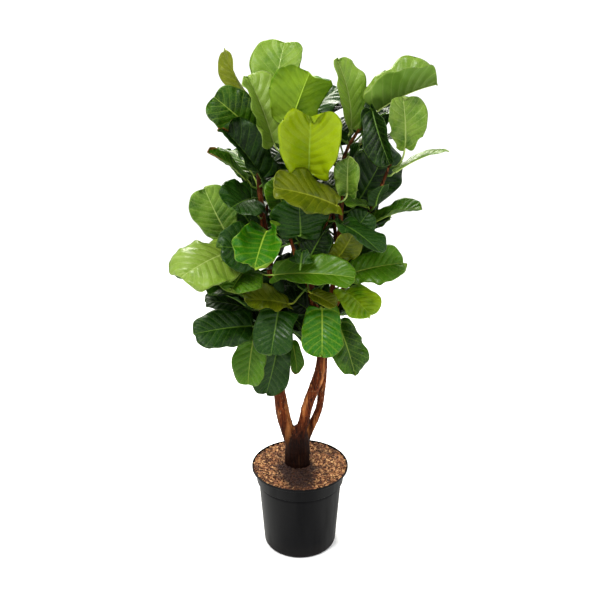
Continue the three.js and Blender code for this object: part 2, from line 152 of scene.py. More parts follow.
def studio():
    scene = bpy.context.scene
    camera = bpy.data.objects.new("camera", bpy.data.cameras.new("camera"))
    camera.location = CAMERA_PLACE
    camera.rotation_euler = (CAMERA_TILT, 0, 0)
    camera.data.lens = LENS
    scene.collection.objects.link(camera)
    scene.camera = camera
    for name, place, size, power, color in LIGHTS:
        light = bpy.data.objects.new(name, bpy.data.lights.new(name, "AREA"))
        light.location = place
        light.data.size = size
        light.data.energy = power
        light.data.color = linear(color)[:3]
        aim(light, CROWN_MIDDLE)
        scene.collection.objects.link(light)
    world = bpy.data.worlds.new("studio")
    world.use_nodes = True
    sky = world.node_tree.nodes["Background"]
    sky.inputs["Color"].default_value = linear("#ffffff")
    sky.inputs["Strength"].default_value = 1.0
    scene.world = world
    scene.view_settings.view_transform = "Standard"
    scene.view_settings.look = "Medium High Contrast"
    corners = [(FLOOR_HALF * x, FLOOR_HALF * y, 0) for x, y in ((-1, -1), (1, -1), (1, 1), (-1, 1))]
    floor = mesh_object("floor", corners, [(0, 1, 2, 3)])
    material, tree = new_material("matt_white_paper")
    paper = add(tree, "ShaderNodeBsdfPrincipled", Base_Color=linear("#f7f7f6"), Roughness=0.9)
    add(tree, "ShaderNodeOutputMaterial", Surface=paper)
    floor.data.materials.append(material)


studio()
print("camera at", tuple(bpy.context.scene.camera.location))

# %% [markdown]
# ## Pot
# A nursery pot is injection-moulded black polypropylene: a tapered cup, a plain collar that stiffens
# the mouth, a rounded lip, and drainage holes cut through the corner of the base. A turned shape
# is a profile and a spin, so the wall is one list of radii and heights with small radii at each
# corner, spun in mesh code, and the holes are a boolean cut. The rim and the height come from the
# CAD pot's box, and the other sizes are named here as they are on the CAD pot.

# %% Pot shape
_, pot_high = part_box("pot")
RIM_RADIUS = pot_high.x
POT_TOP = pot_high.z
BASE_RADIUS = 106 * MM
BODY_TOP_RADIUS = 124 * MM
COLLAR_FOOT = POT_TOP - 47 * MM
LIP_FOOT = POT_TOP - 12 * MM
LIP_BAND = 6.5 * MM
COLLAR_STEP = 6 * MM
WALL = 2.4 * MM
FLOOR_THICKNESS = 3 * MM
DRAINS = 10
DRAIN_RADIUS = 8 * MM
DRAIN_CIRCLE = 94 * MM
POT_SIDES = 180


def body_radius(z):
    return BASE_RADIUS + (BODY_TOP_RADIUS - BASE_RADIUS) * z / POT_TOP


def collar_radius(z):
    return body_radius(z) + COLLAR_STEP


def rounded(corners, radius=1.5 * MM, steps=4):
    """The profile with each inner corner replaced by a short arc."""
    line = [Vector(corners[0])]
    for before, corner, after in zip(corners, corners[1:], corners[2:]):
        here = Vector(corner)
        to_before = Vector(before) - here
        to_after = Vector(after) - here
        reach = min(radius, to_before.length * 0.45, to_after.length * 0.45)
        start = here + to_before.normalized() * reach
        end = here + to_after.normalized() * reach
        for k in range(steps + 1):
            t = k / steps
            line.append(start * (1 - t) ** 2 + here * 2 * t * (1 - t) + end * t * t)
    return line + [Vector(corners[-1])]


def spin(profile, sides):
    """A turned solid whose profile starts and ends on the axis."""
    vertices = [(0, 0, profile[0].y)]
    for point in profile[1:-1]:
        for k in range(sides):
            turn = 2 * math.pi * k / sides
            vertices.append((point.x * math.cos(turn), point.x * math.sin(turn), point.y))
    vertices.append((0, 0, profile[-1].y))
    last = len(vertices) - 1
    faces = []
    for k in range(sides):
        following = (k + 1) % sides
        faces.append((0, 1 + following, 1 + k))
        faces.append((last, last - sides + k, last - sides + following))
        for ring in range(len(profile) - 3):
            near = 1 + ring * sides
            far = near + sides
            faces.append((near + k, near + following, far + following, far + k))
    return vertices, faces


def make_pot():
    corners = [
        (0, 1 * MM),
        (30 * MM, 1 * MM),
        (34 * MM, 0),
        (BASE_RADIUS - 6 * MM, 0),
        (BASE_RADIUS - 1 * MM, 3 * MM),
        (body_radius(9 * MM), 9 * MM),
        (body_radius(COLLAR_FOOT - 9 * MM), COLLAR_FOOT - 9 * MM),
        (body_radius(COLLAR_FOOT) - 2.5 * MM, COLLAR_FOOT - 2 * MM),
        (body_radius(COLLAR_FOOT) - 2 * MM, COLLAR_FOOT + 1 * MM),
        (collar_radius(COLLAR_FOOT), COLLAR_FOOT + 1.5 * MM),
        (collar_radius(LIP_FOOT), LIP_FOOT),
        (RIM_RADIUS, POT_TOP - LIP_BAND),
        (RIM_RADIUS, POT_TOP),
        (RIM_RADIUS - WALL, POT_TOP),
        (RIM_RADIUS - WALL, POT_TOP - LIP_BAND + 1 * MM),
        (collar_radius(LIP_FOOT) - WALL, LIP_FOOT + 1 * MM),
        (collar_radius(COLLAR_FOOT) - WALL, COLLAR_FOOT + 5 * MM),
        (body_radius(COLLAR_FOOT) - WALL - 2.5 * MM, COLLAR_FOOT),
        (body_radius(8 * MM) - WALL, 8 * MM),
        (BASE_RADIUS - 7 * MM, FLOOR_THICKNESS),
        (0, FLOOR_THICKNESS),
    ]
    pot = mesh_object("pot_moulded", *spin(rounded(corners), POT_SIDES))
    drills = bmesh.new()
    for k in range(DRAINS):
        turn = Matrix.Rotation(2 * math.pi * k / DRAINS, 4, "Z")
        bmesh.ops.create_cone(
            drills, cap_ends=True, segments=24, radius1=DRAIN_RADIUS, radius2=DRAIN_RADIUS, depth=20 * MM,
            matrix=turn @ Matrix.Translation((DRAIN_CIRCLE, 0, 0)),
        )
    mesh = bpy.data.meshes.new("drills")
    drills.to_mesh(mesh)
    cutter = bpy.data.objects.new("drills", mesh)
    bpy.context.scene.collection.objects.link(cutter)
    cut = pot.modifiers.new("drains", "BOOLEAN")
    cut.object = cutter
    cut.solver = "EXACT"
    apply_modifiers(pot)
    bpy.data.objects.remove(cutter)
    return pot


def apply_modifiers(piece):
    """The piece's evaluated shape becomes its plain mesh."""
    depsgraph = bpy.context.evaluated_depsgraph_get()
    shaped = bpy.data.meshes.new_from_object(piece.evaluated_get(depsgraph))
    piece.modifiers.clear()
    piece.data = shaped


pot = make_pot()
print("pot:", len(pot.data.polygons), "faces")

# %% [markdown]
# ## Black polypropylene
# Moulded polypropylene is dyed right through. Its skin copies a finely sandblasted mould, so it is
# satin, 0.5 to 0.65 rough, with an IOR of 1.49. Handling leaves faint dull scuffs, and dust from
# the soil greys the foot. Its own colour is nearly black, and the light around it makes it read
# as a dark blue-grey.

# %% Pot material
def polypropylene():
    material, tree = new_material("black_polypropylene_moulded")
    place = add(tree, "ShaderNodeTexCoord").outputs["Object"]
    height = add(tree, "ShaderNodeSeparateXYZ", Vector=place).outputs[2]
    grain = add(tree, "ShaderNodeTexNoise", Vector=place, Scale=1 / (1.2 * MM), Detail=2.0)
    flow_place = add(tree, "ShaderNodeMapping", Vector=place, Scale=(1, 1, 0.12))
    flow = add(tree, "ShaderNodeTexNoise", Vector=flow_place, Scale=28.0, Detail=4.0)
    scuff = add(tree, "ShaderNodeMapRange", Value=flow, _1=0.45, _2=0.72, _3=0.48, _4=0.66)
    low = add(tree, "ShaderNodeMapRange", Value=height, _1=0.05, _2=0.0, _3=0.0, _4=0.55)
    dust = add(tree, "ShaderNodeMath", MULTIPLY, _0=low, _1=flow)
    color = add(tree, "ShaderNodeMix", COLORS, _0=dust, _6=linear("#050507"), _7=linear("#2a2522"))
    bump = add(tree, "ShaderNodeBump", Strength=0.12, Distance=0.15 * MM, Height=grain)
    plastic = add(
        tree, "ShaderNodeBsdfPrincipled", Base_Color=color, Roughness=scuff, IOR=1.49, Normal=bump
    )
    plastic.inputs["Specular IOR Level"].default_value = 0.15
    add(tree, "ShaderNodeOutputMaterial", Surface=plastic)
    return material


pot.data.materials.clear()
pot.data.materials.append(polypropylene())
keep(pot, "pot_plastic", "pot")
print("pot finish:", pot.data.materials[0].name)

# %% [markdown]
# ## Wood
# The stems and side shoots grow as one piece of wood. A copy of the CAD wood is merged, because
# its triangles are loose, then remeshed into an even skin so that the forks melt together as
# grown wood does. Vertex moves along the normals then add the swelling of old leaf scars, a few
# centimetres apart, and the shallow furrows that run up the bark.

# %% Stem shape
WELD = 0.01 * MM
VOXEL = 2.4 * MM
SCAR_SPACING = 43 * MM
SCAR_SHARPNESS = 14
TRUNK_TOP = 0.42
TRUNK_FADE = 0.12


def merged_copy(node, name):
    """A new object with the CAD node's mesh, its loose triangles joined."""
    piece = bpy.data.objects.new(name, nodes[node].data.copy())
    bpy.context.scene.collection.objects.link(piece)
    shape = bmesh.new()
    shape.from_mesh(piece.data)
    bmesh.ops.remove_doubles(shape, verts=shape.verts, dist=WELD)
    shape.to_mesh(piece.data)
    shape.free()
    piece.data.materials.clear()
    return piece


def make_stem():
    stem = merged_copy("stem", "stem_wood")
    remesh = stem.modifiers.new("even_skin", "REMESH")
    remesh.mode = "VOXEL"
    remesh.voxel_size = VOXEL
    smooth = stem.modifiers.new("grown_together", "SMOOTH")
    smooth.factor = 0.5
    smooth.iterations = 9
    apply_modifiers(stem)
    mesh = stem.data
    count = len(mesh.vertices)
    places = np.empty(count * 3)
    mesh.vertices.foreach_get("co", places)
    places = places.reshape(-1, 3)
    normals = np.empty(count * 3)
    mesh.vertex_normals.foreach_get("vector", normals)
    normals = normals.reshape(-1, 3)
    moved = []
    for place, normal in zip(places, normals):
        x, y, z = place
        warp = noise.noise(Vector((x * 30, y * 30, z * 12)))
        scar = max(0.0, math.cos(2 * math.pi * (z / SCAR_SPACING + 0.35 * warp))) ** SCAR_SHARPNESS
        furrow = noise.noise(Vector((x * 260, y * 260, z * 26)))
        lump = noise.noise(Vector((x * 55, y * 55, z * 38)))
        trunk = min(1.0, max(0.0, (TRUNK_TOP - z) / TRUNK_FADE))
        rise = 0.55 + 0.7 * scar + 0.45 * furrow + lump * (0.5 + 1.6 * trunk)
        moved.append(place + normal * rise * MM)
    mesh.vertices.foreach_set("co", np.array(moved).ravel())
    mesh.polygons.foreach_set("use_smooth", [True] * len(mesh.polygons))
    mesh.update()
    return stem


stem = make_stem()
print("stem:", len(stem.data.polygons), "faces")

# %% [markdown]
# ## Bark
# Fig bark is thin and brown, and it keeps tan patches where the skin has stretched. Up close it has
# fine vertical streaks and small pale pores. It is almost matt, 0.55 to 0.8 rough. From the soil up
# past the fork it is painted nearly black as shade, and the youngest shoots are still a dull olive
# brown. All of it follows height and noise on object coordinates.

# %% Bark material
def bark():
    material, tree = new_material("fig_bark")
    place = add(tree, "ShaderNodeTexCoord").outputs["Object"]
    height = add(tree, "ShaderNodeSeparateXYZ", Vector=place).outputs[2]
    upright = add(tree, "ShaderNodeMapping", Vector=place, Scale=(1, 1, 0.14))
    streak = add(tree, "ShaderNodeTexNoise", Vector=upright, Scale=230.0, Detail=5.0, Roughness=0.65)
    patch = add(tree, "ShaderNodeTexNoise", Vector=upright, Scale=52.0, Detail=3.0)
    pores = add(tree, "ShaderNodeTexVoronoi", Vector=place, Scale=1 / (7 * MM))
    streaks = add(tree, "ShaderNodeMapRange", Value=streak, _1=0.35, _2=0.68)
    brown = add(tree, "ShaderNodeMix", COLORS, _0=streaks, _6=linear("#1a0703"), _7=linear("#783c1a"))
    patches = add(tree, "ShaderNodeMapRange", Value=patch, _1=0.56, _2=0.68, _3=0.0, _4=0.75)
    tan = add(tree, "ShaderNodeMix", COLORS, _0=patches, _6=brown, _7=linear("#b87c48"))
    pore = add(tree, "ShaderNodeMapRange", Value=pores, _1=0.16, _2=0.08, _3=0.0, _4=0.5)
    pored = add(tree, "ShaderNodeMix", COLORS, _0=pore, _6=tan, _7=linear("#c9a780"))
    # Painted shade: from the soil up past the fork, to a ragged edge about 0.35 to 0.45 m high, the bark is
    # painted nearly black.
    shade_edge = add(tree, "ShaderNodeMath", MULTIPLY_ADD, _0=patch, _1=0.12, _2=height)
    painted_shade = add(tree, "ShaderNodeMapRange", Value=shade_edge, _1=0.49, _2=0.39, _3=0.0, _4=0.92)
    darkened = add(tree, "ShaderNodeMix", COLORS, _0=painted_shade, _6=pored, _7=linear("#0b0302"))
    young = add(tree, "ShaderNodeMapRange", Value=height, _1=0.85, _2=1.2, _3=0.0, _4=0.6)
    color = add(tree, "ShaderNodeMix", COLORS, _0=young, _6=darkened, _7=linear("#3a2a18"))
    rough = add(tree, "ShaderNodeMapRange", Value=streak, _3=0.55, _4=0.8)
    bump = add(tree, "ShaderNodeBump", Strength=0.6, Distance=0.8 * MM, Height=streak)
    wood = add(tree, "ShaderNodeBsdfPrincipled", Base_Color=color, Roughness=rough, Normal=bump)
    wood.inputs["Specular IOR Level"].default_value = 0.12
    add(tree, "ShaderNodeOutputMaterial", Surface=wood)
    return material


stem.data.materials.append(bark())
keep(stem, "bark", "stem")
print("bark on", stem.name)

# %% [markdown]
# ## Reading the CAD leaves
# Each CAD leaf is a loft: rings of eight points, from the stalk's root to the last ring before the
# tip. The fine leaf is a smooth skin through the same rings, so it lies exactly where the CAD
# leaf does. Only the two ends have eight neighbours, so a walk from the root counts the rings.
# In each ring the left margin is the one point with a single link to the next ring.

# %% Rings of a CAD leaf
STALK_RINGS = 3
RING_POINTS = 8


def leaf_rings(node):
    """The tip, and the rings of eight points: left margin, three above, right margin, three below."""
    shape = bmesh.new()
    shape.from_mesh(nodes[node].data)
    bmesh.ops.remove_doubles(shape, verts=shape.verts, dist=WELD)
    ends = [v for v in shape.verts if len(v.link_edges) == RING_POINTS]
    root, tip = sorted(ends, key=lambda v: min(e.calc_length() for e in v.link_edges))
    step = {root: 0}
    layers = [[root]]
    while layers[-1]:
        found = []
        for vertex in layers[-1]:
            for edge in vertex.link_edges:
                other = edge.other_vert(vertex)
                if other not in step:
                    step[other] = len(layers)
                    found.append(other)
        layers.append(found)
    rings = []
    for layer in layers[1:-2]:
        left, forward = left_margin(layer, step)
        ring = [left, neighbour_above(left, forward)]
        while len(ring) < RING_POINTS:
            around = [e.other_vert(ring[-1]) for e in ring[-1].link_edges]
            ring.append(next(v for v in around if step[v] == step[left] and v is not ring[-2]))
        rings.append([v.co.copy() for v in ring])
    tip_place = np.array(tip.co)
    root_place = np.array(root.co)
    shape.free()
    return root_place, np.array(rings), tip_place


def left_margin(layer, step):
    """The ring's left margin and the point ahead of it."""
    def ahead(vertex):
        others = [e.other_vert(vertex) for e in vertex.link_edges]
        return [v for v in others if step[v] == step[vertex] + 1]

    def behind(vertex):
        others = [e.other_vert(vertex) for e in vertex.link_edges]
        return [v for v in others if step[v] == step[vertex] - 1]

    fewest = sorted(layer, key=lambda v: (len(ahead(v)), -len(behind(v))))
    return fewest[0], ahead(fewest[0])[0]


def neighbour_above(left, forward):
    for face in left.link_faces:
        corners = list(face.verts)
        at = corners.index(left)
        if corners[(at + 2) % 3] is forward:
            return corners[(at + 1) % 3]


cad_leaves = {name: leaf_rings(name) for name in leaf_nodes}
print("rings in a leaf:", {len(rings) for _, rings, _ in cad_leaves.values()})

# %% [markdown]
# ## Outline of a blade
# A fiddle leaf is widest past its middle and its base is heart-shaped. The rings give a smooth
# middle line and smooth half widths. The widths are divided by a factor that falls off like a
# root at both ends before they are joined up, and multiplied by it after, so the outline
# closes round there. The two lobes of the heart are the base pushed back past its foot.

# %% Mid sheet of a blade
STATIONS = np.array([0.025, 0.075, 0.175, 0.3, 0.45, 0.6, 0.75, 0.875, 0.95])
ROWS = 60
COLUMNS = 28
LOBE = 0.045


def through(knots, values, at):
    """A smooth curve through values at uneven knots."""
    slopes = np.gradient(values, knots, axis=0)
    span = np.clip(np.searchsorted(knots, at) - 1, 0, len(knots) - 2)
    width = (knots[span + 1] - knots[span])[:, None]
    s = ((at - knots[span])[:, None]) / width
    start, end = values[span], values[span + 1]
    near = start * (1 + 2 * s) * (1 - s) ** 2 + slopes[span] * width * s * (1 - s) ** 2
    return near + end * s * s * (3 - 2 * s) + slopes[span + 1] * width * s * s * (s - 1)


def blade_sheet(rings, tip, along, across):
    """A grid of points between the CAD leaf's two sides, its middle line and its half widths."""
    rib = (rings[:, 2] + rings[:, 6]) / 2
    foot = rib[0] - (rib[1] - rib[0]) / 2
    knots = np.array([0, *STATIONS, 1])
    middle = through(knots, np.array([foot, *rib, tip]), along)
    taper = np.sqrt(along * (1 - along))
    station_taper = np.sqrt(STATIONS * (1 - STATIONS))[:, None]

    def offsets(columns):
        scaled = (columns - rib) / station_taper
        return through(knots, np.array([scaled[0], *scaled, scaled[-1]]), along) * taper[:, None]

    sides = {
        -1: (offsets((rings[:, 1] + rings[:, 7]) / 2), offsets(rings[:, 0])),
        1: (offsets((rings[:, 3] + rings[:, 5]) / 2), offsets(rings[:, 4])),
    }
    length = np.linalg.norm(np.diff(middle, axis=0), axis=1).sum()
    backward = np.gradient(middle, axis=0)
    backward /= -np.linalg.norm(backward, axis=1)[:, None]
    lobe = LOBE * length * np.sqrt(along / 0.03) * np.exp(-along / 0.05)
    sheet = np.zeros((len(along), len(across), 3))
    for j, u in enumerate(across):
        half, full = sides[-1 if u < 0 else 1]
        part = abs(u)
        sheet[:, j] = middle + half * 4 * part * (1 - part) + full * part * (2 * part - 1)
        sheet[:, j] += backward * (lobe * part**1.5)[:, None]
    half_width = np.column_stack([np.linalg.norm(sides[side][1], axis=1) for side in (-1, 1)])
    return sheet, middle, half_width, length


print("a blade's grid:", ROWS, "by", COLUMNS)

# %% [markdown]
# ## Relief of a blade
# A grown blade is under 1 mm thick, stiff and leathery. Its lateral veins sweep forwards from the
# midrib, the skin bulges up between them, and the margin is wavy and a little ragged. These are
# moves along the normal. Veins are numbered by one formula, kept as an attribute, so that the
# colour of the veins lies exactly in the valleys of the shape.

# %% Veins, bulges and waves
VEIN_PAIRS = 8
HALF_THICKNESS = 0.45 * MM
MIDDLE_STATION = 4
RAGGED = 0.13
RAGGED_TURNS = 30  # a metre, as the next three are
BROAD_TURNS = 15
EDGE_TURNS = 34
FINE_TURNS = 80
WAVE = 0.28
FURROW_DEPTH = 1.1 * MM
FURROW_WIDTH = 3.5 * MM


def vein_number(along, across):
    """Whole numbers lie on the lateral veins, which fan out from the base and lean forwards."""
    reach = np.abs(across) * (1.15 - 0.15 * np.abs(across))
    lean = 0.3 * np.sqrt(np.clip(along / 0.35, 0, 1)) - 0.08 * along
    return VEIN_PAIRS * (along - lean * reach)


def upper_normals(sheet, rings, along):
    """The sheet's normals, on the side that the CAD leaf's upper points are."""
    down_leaf, over_leaf = np.gradient(sheet, axis=(0, 1))
    normal = np.cross(down_leaf, over_leaf)
    normal /= np.maximum(np.linalg.norm(normal, axis=2, keepdims=True), 1e-12)
    upward = rings[MIDDLE_STATION, 2] - rings[MIDDLE_STATION, 6]
    row = int(np.argmin(np.abs(along - STATIONS[MIDDLE_STATION])))
    if normal[row, COLUMNS // 2] @ upward < 0:
        normal = -normal
    normal[0] = normal[1]
    normal[-1] = normal[-2]
    return normal


def margin_waves(along, across, length, shift):
    """Waves that grow from nothing at the midrib to full height at the margin."""
    waves = np.zeros((len(along), len(across)))
    for i, t in enumerate(along):
        for j, u in enumerate(across):
            side = shift[0] if u < 0 else shift[1]
            broad = noise.noise(Vector((t * length * BROAD_TURNS, side, abs(u) * 0.7)))
            edge = noise.noise(Vector((t * length * EDGE_TURNS, side + 5, abs(u) * 0.9)))
            fine = noise.noise(Vector((t * length * FINE_TURNS, side + 9, abs(u) * 2.5)))
            waves[i, j] = abs(u) ** 1.6 * (1.0 * broad + 0.8 * edge + 0.25 * fine)
    return waves


def blade_surface(rings, tip, rng, waviness):
    """The mid surface, its upward normals, and what each point is on the leaf."""
    along = 0.5 - 0.5 * np.cos(math.pi * (np.arange(ROWS + 1) / ROWS))
    across = np.linspace(-1, 1, COLUMNS + 1)
    surface, middle, half_width, length = blade_sheet(rings, tip, along, across)
    ragged = rng.uniform(0, 60)
    for i, t in enumerate(along):
        for j, u in enumerate(across):
            nick = noise.noise(Vector((t * length * RAGGED_TURNS, ragged + math.copysign(3, u), 0)))
            surface[i, j] += (surface[i, j] - middle[i]) * RAGGED * nick * abs(u)
    normal = upper_normals(surface, rings, along)
    grid_along, grid_across = np.meshgrid(along, across, indexing="ij")
    width_here = np.where(grid_across < 0, half_width[:, :1], half_width[:, 1:])
    from_rib = grid_across * width_here
    number = vein_number(grid_along, grid_across)
    widest = half_width.max()
    bulge = 0.5 - 0.5 * np.cos(2 * math.pi * number)
    room = np.clip(np.abs(from_rib) / (9 * MM), 0, 1) * np.clip((1 - np.abs(grid_across)) / 0.2, 0, 1)
    rise = bulge * room * np.clip(widest * 0.04, 1.0 * MM, 3.0 * MM)
    rise -= FURROW_DEPTH * np.exp(-((from_rib / FURROW_WIDTH) ** 2)) * (1 - grid_along)
    waves = margin_waves(along, across, length, rng.uniform(0, 60, 2))
    rise += waves * widest * WAVE * waviness
    rise += np.abs(grid_across) ** 2.5 * widest * rng.uniform(-0.16, 0.1)
    surface += normal * rise[:, :, None]
    edge_distance = (1 - np.abs(grid_across)) * width_here
    end_distance = np.minimum(grid_along, 1 - grid_along) * length
    anatomy = {
        "from_rib": from_rib,
        "along": grid_along,
        "length": grid_along * length,
        "vein": number,
        "edge": np.minimum(edge_distance, end_distance * 1.6),
    }
    return surface, normal, anatomy


print("vein pairs in a blade:", VEIN_PAIRS)

# %% [markdown]
# ## Two skins
# A blade needs an upper and an under skin, so that it is a closed body with a thickness. Both use
# the same grid and share the points of the margin and the two ends. The numbering is the same
# for every leaf, so it is worked out once and kept.

# %% Skins over the grid
def skin_faces(first_top, first_under, reverse):
    """Quads of both skins, which share their margin points and the two end points."""
    faces = []
    for i in range(ROWS):
        for j in range(COLUMNS):
            corners = [(i, j), (i + 1, j), (i + 1, j + 1), (i, j + 1)]
            for lookup, flip in ((first_top, reverse), (first_under, not reverse)):
                face = []
                for corner in corners:
                    if lookup[corner] not in face:
                        face.append(lookup[corner])
                faces.append(face[::-1] if flip else face)
    return faces


LOOKUP = {}


def lookups():
    """Number of each grid point's vertex on the upper and under skin."""
    if not LOOKUP:
        top, under, count = {}, {}, 0
        for i in range(ROWS + 1):
            for j in range(COLUMNS + 1):
                pole = i in (0, ROWS)
                if pole and j:
                    top[i, j] = under[i, j] = top[i, 0]
                    continue
                top[i, j] = under[i, j] = count
                count += 1
                if not pole and 0 < j < COLUMNS:
                    under[i, j] = count
                    count += 1
        LOOKUP.update(top=top, under=under, count=count)
    return LOOKUP["top"], LOOKUP["under"], LOOKUP["count"]


print("a blade has", 4 * ROWS * COLUMNS, "triangles")

# %% [markdown]
# ## Stalk and midrib
# The stalk is a stiff round rod, a little thicker where it leaves the wood, and the midrib is the
# same rod running on under the blade and thinning to nothing at the tip. So both are one tube
# whose path starts inside the bark, follows the stalk and then the underside of the blade.

# %% Tube and whole leaf
TUBE_SIDES = 10
STALK_RADIUS = 2.6 * MM
BURIED = 3 * MM
STALK_STEPS = 12


def tube(path, radii):
    """A closed tube along the path."""
    path = np.array(path)
    direction = np.gradient(path, axis=0)
    direction /= np.linalg.norm(direction, axis=1)[:, None]
    side = np.cross(direction[0], (0.31, 0.87, 0.38))
    vertices, faces = [path[0]], []
    for place, ahead, radius in zip(path[1:-1], direction[1:-1], radii[1:-1]):
        side = side - ahead * (side @ ahead)
        side /= np.linalg.norm(side)
        other = np.cross(ahead, side)
        for k in range(TUBE_SIDES):
            turn = 2 * math.pi * k / TUBE_SIDES
            vertices.append(place + radius * (math.cos(turn) * side + math.sin(turn) * other))
    vertices.append(path[-1])
    last = len(vertices) - 1
    for k in range(TUBE_SIDES):
        following = (k + 1) % TUBE_SIDES
        faces.append((0, 1 + following, 1 + k))
        faces.append((last, last - TUBE_SIDES + k, last - TUBE_SIDES + following))
        for ring in range(len(path) - 3):
            near = 1 + ring * TUBE_SIDES
            far = near + TUBE_SIDES
            faces.append((near + k, near + following, far + following, far + k))
    return vertices, faces


def stalk_path(root, foot, start, heading):
    """From inside the bark at root to the foot of the blade."""
    ahead = np.array(heading) / np.linalg.norm(heading)
    out = np.array(start)
    reach = np.linalg.norm(foot - root)
    inside = root - out * BURIED
    t = np.linspace(0, 1, STALK_STEPS)[:, None]
    bend = root + out * reach * 0.35
    arrive = foot - ahead * reach * 0.3
    return inside * (1 - t) ** 3 + bend * 3 * t * (1 - t) ** 2 + arrive * 3 * t * t * (1 - t) + foot * t**3


def make_leaf(name, blade_rings, tip, stalk, waviness=1.0, dryness=0.0, light_tone_share=None):
    """Blade, stalk and midrib as one mesh that carries the leaf's attributes."""
    rng = np.random.default_rng(zlib.crc32(name.encode()))
    surface, normal, anatomy = blade_surface(blade_rings, tip, rng, waviness)
    top, under, count = lookups()
    vertices = np.zeros((count, 3))
    place = np.zeros((count, 3))
    traits = np.zeros((count, 3))
    state = np.zeros((count, 3))
    seed = rng.uniform() if light_tone_share is None else light_tone_share
    for lookup, lift, is_under in ((under, -HALF_THICKNESS, 1.0), (top, HALF_THICKNESS, 0.0)):
        for i in range(ROWS + 1):
            for j in range(COLUMNS + 1):
                at = lookup[i, j]
                shared = j in (0, COLUMNS) or i in (0, ROWS)
                vertices[at] = surface[i, j] + normal[i, j] * (0 if shared else lift)
                place[at] = (anatomy["from_rib"][i, j], anatomy["length"][i, j], seed)
                traits[at] = (anatomy["vein"][i, j], anatomy["edge"][i, j], is_under)
                state[at] = (0, dryness, anatomy["along"][i, j])
    row = ROWS // 2
    column = COLUMNS // 2
    down_leaf = surface[row + 1, column] - surface[row - 1, column]
    over_leaf = surface[row, column + 1] - surface[row, column - 1]
    turned = np.cross(down_leaf, over_leaf)
    faces = skin_faces(top, under, turned @ normal[row, column] < 0)
    picked = np.arange(2, ROWS, 2)
    thin = 1 - picked / ROWS
    rib_radii = 0.35 * MM + 1.75 * MM * thin**1.3
    rib_line = surface[picked, column] - normal[picked, column] * (rib_radii * 0.75)[:, None]
    path = np.vstack([stalk[:-1], rib_line])
    thickness = np.interp(np.arange(len(stalk) - 1), [0, 3, len(stalk) - 1], [1.35, 1.0, 0.9])
    stalk_radii = thickness * STALK_RADIUS
    rod, rod_faces = tube(path, np.concatenate([stalk_radii, rib_radii]))
    vertices = np.vstack([vertices, rod])
    faces += [tuple(at + count for at in face) for face in rod_faces]
    rod_along = np.repeat(np.linspace(0, 1, len(path) - 2), TUBE_SIDES)
    extra = len(rod)
    place = np.vstack([place, np.tile((0, 0, seed), (extra, 1))])
    traits = np.vstack([traits, np.tile((0.5, 0.05, 0.5), (extra, 1))])
    state = np.vstack([state, np.column_stack([np.ones(extra), np.zeros(extra), [0, *rod_along, 1]])])
    piece = mesh_object(name, vertices, faces)
    for label, values in (("place", place), ("traits", traits), ("state", state)):
        layer = piece.data.attributes.new(label, "FLOAT_VECTOR", "POINT")
        layer.data.foreach_set("vector", values.ravel())
    return piece


print("a stalk has", TUBE_SIDES, "sides")

# %% [markdown]
# ## Veins and margin
# The colour of a leaf follows its anatomy, so the material reads the three attributes of the
# mesh: how far a point is from the midrib and the margin, which vein it is near, and how old
# and dry the leaf is. From these come masks of the midrib, the side veins, the paler flesh
# beside them, the margin, and the fine net between veins, whose meshes are about 6 mm.

# %% Masks of the leaf's lines
LEAF_ATTRIBUTES = {
    "place": ("from_rib", "along", "seed"),
    "traits": ("vein", "edge", "under"),
    "state": ("rod", "dryness", "part"),
}
SOFT_STEP = {"interpolation_type": "SMOOTHSTEP"}
NET_MESH = 6.5 * MM


def leaf_places(tree):
    """Each number that a leaf's attributes hold, by name."""
    found = {}
    for label, names in LEAF_ATTRIBUTES.items():
        vector = add(tree, "ShaderNodeAttribute", {"attribute_name": label}).outputs["Vector"]
        found.update(zip(names, add(tree, "ShaderNodeSeparateXYZ", Vector=vector).outputs))
    depth = add(tree, "ShaderNodeMath", MULTIPLY, _0=found["seed"], _1=9.0)
    found["spot"] = add(
        tree, "ShaderNodeCombineXYZ", X=found["from_rib"], Y=found["along"], Z=depth
    ).outputs[0]
    return found


def leaf_lines(tree, at):
    """Masks of the midrib, the side veins, the flesh beside them, the margin and the net."""
    off_rib = add(tree, "ShaderNodeMath", {"operation": "ABSOLUTE"}, _0=at["from_rib"])
    width = add(tree, "ShaderNodeMapRange", SOFT_STEP, Value=at["part"], _3=3.6 * MM, _4=1.0 * MM)
    ratio = add(tree, "ShaderNodeMath", {"operation": "DIVIDE"}, _0=off_rib, _1=width)
    rib = add(tree, "ShaderNodeMapRange", SOFT_STEP, Value=ratio, _1=1.0, _2=0.35)
    off_vein = add(tree, "ShaderNodeMath", {"operation": "PINGPONG"}, _0=at["vein"], _1=0.5)
    width = add(tree, "ShaderNodeMapRange", SOFT_STEP, Value=off_rib, _2=0.07, _3=0.085, _4=0.05)
    ratio = add(tree, "ShaderNodeMath", {"operation": "DIVIDE"}, _0=off_vein, _1=width)
    vein = add(tree, "ShaderNodeMapRange", SOFT_STEP, Value=ratio, _1=1.0, _2=0.2)
    halo = add(tree, "ShaderNodeMapRange", SOFT_STEP, Value=off_vein, _1=0.24, _2=0.0, _4=0.2)
    margin = add(tree, "ShaderNodeMapRange", SOFT_STEP, Value=at["edge"], _1=1.9 * MM, _2=0.7 * MM)
    cell = add(
        tree, "ShaderNodeTexVoronoi", {"feature": "DISTANCE_TO_EDGE"}, Vector=at["spot"], Scale=1 / NET_MESH
    )
    net = add(tree, "ShaderNodeMapRange", SOFT_STEP, Value=cell, _1=0.09, _2=0.02)
    return rib, vein, halo, margin, net


print("a leaf's numbers:", ", ".join(name for names in LEAF_ATTRIBUTES.values() for name in names))
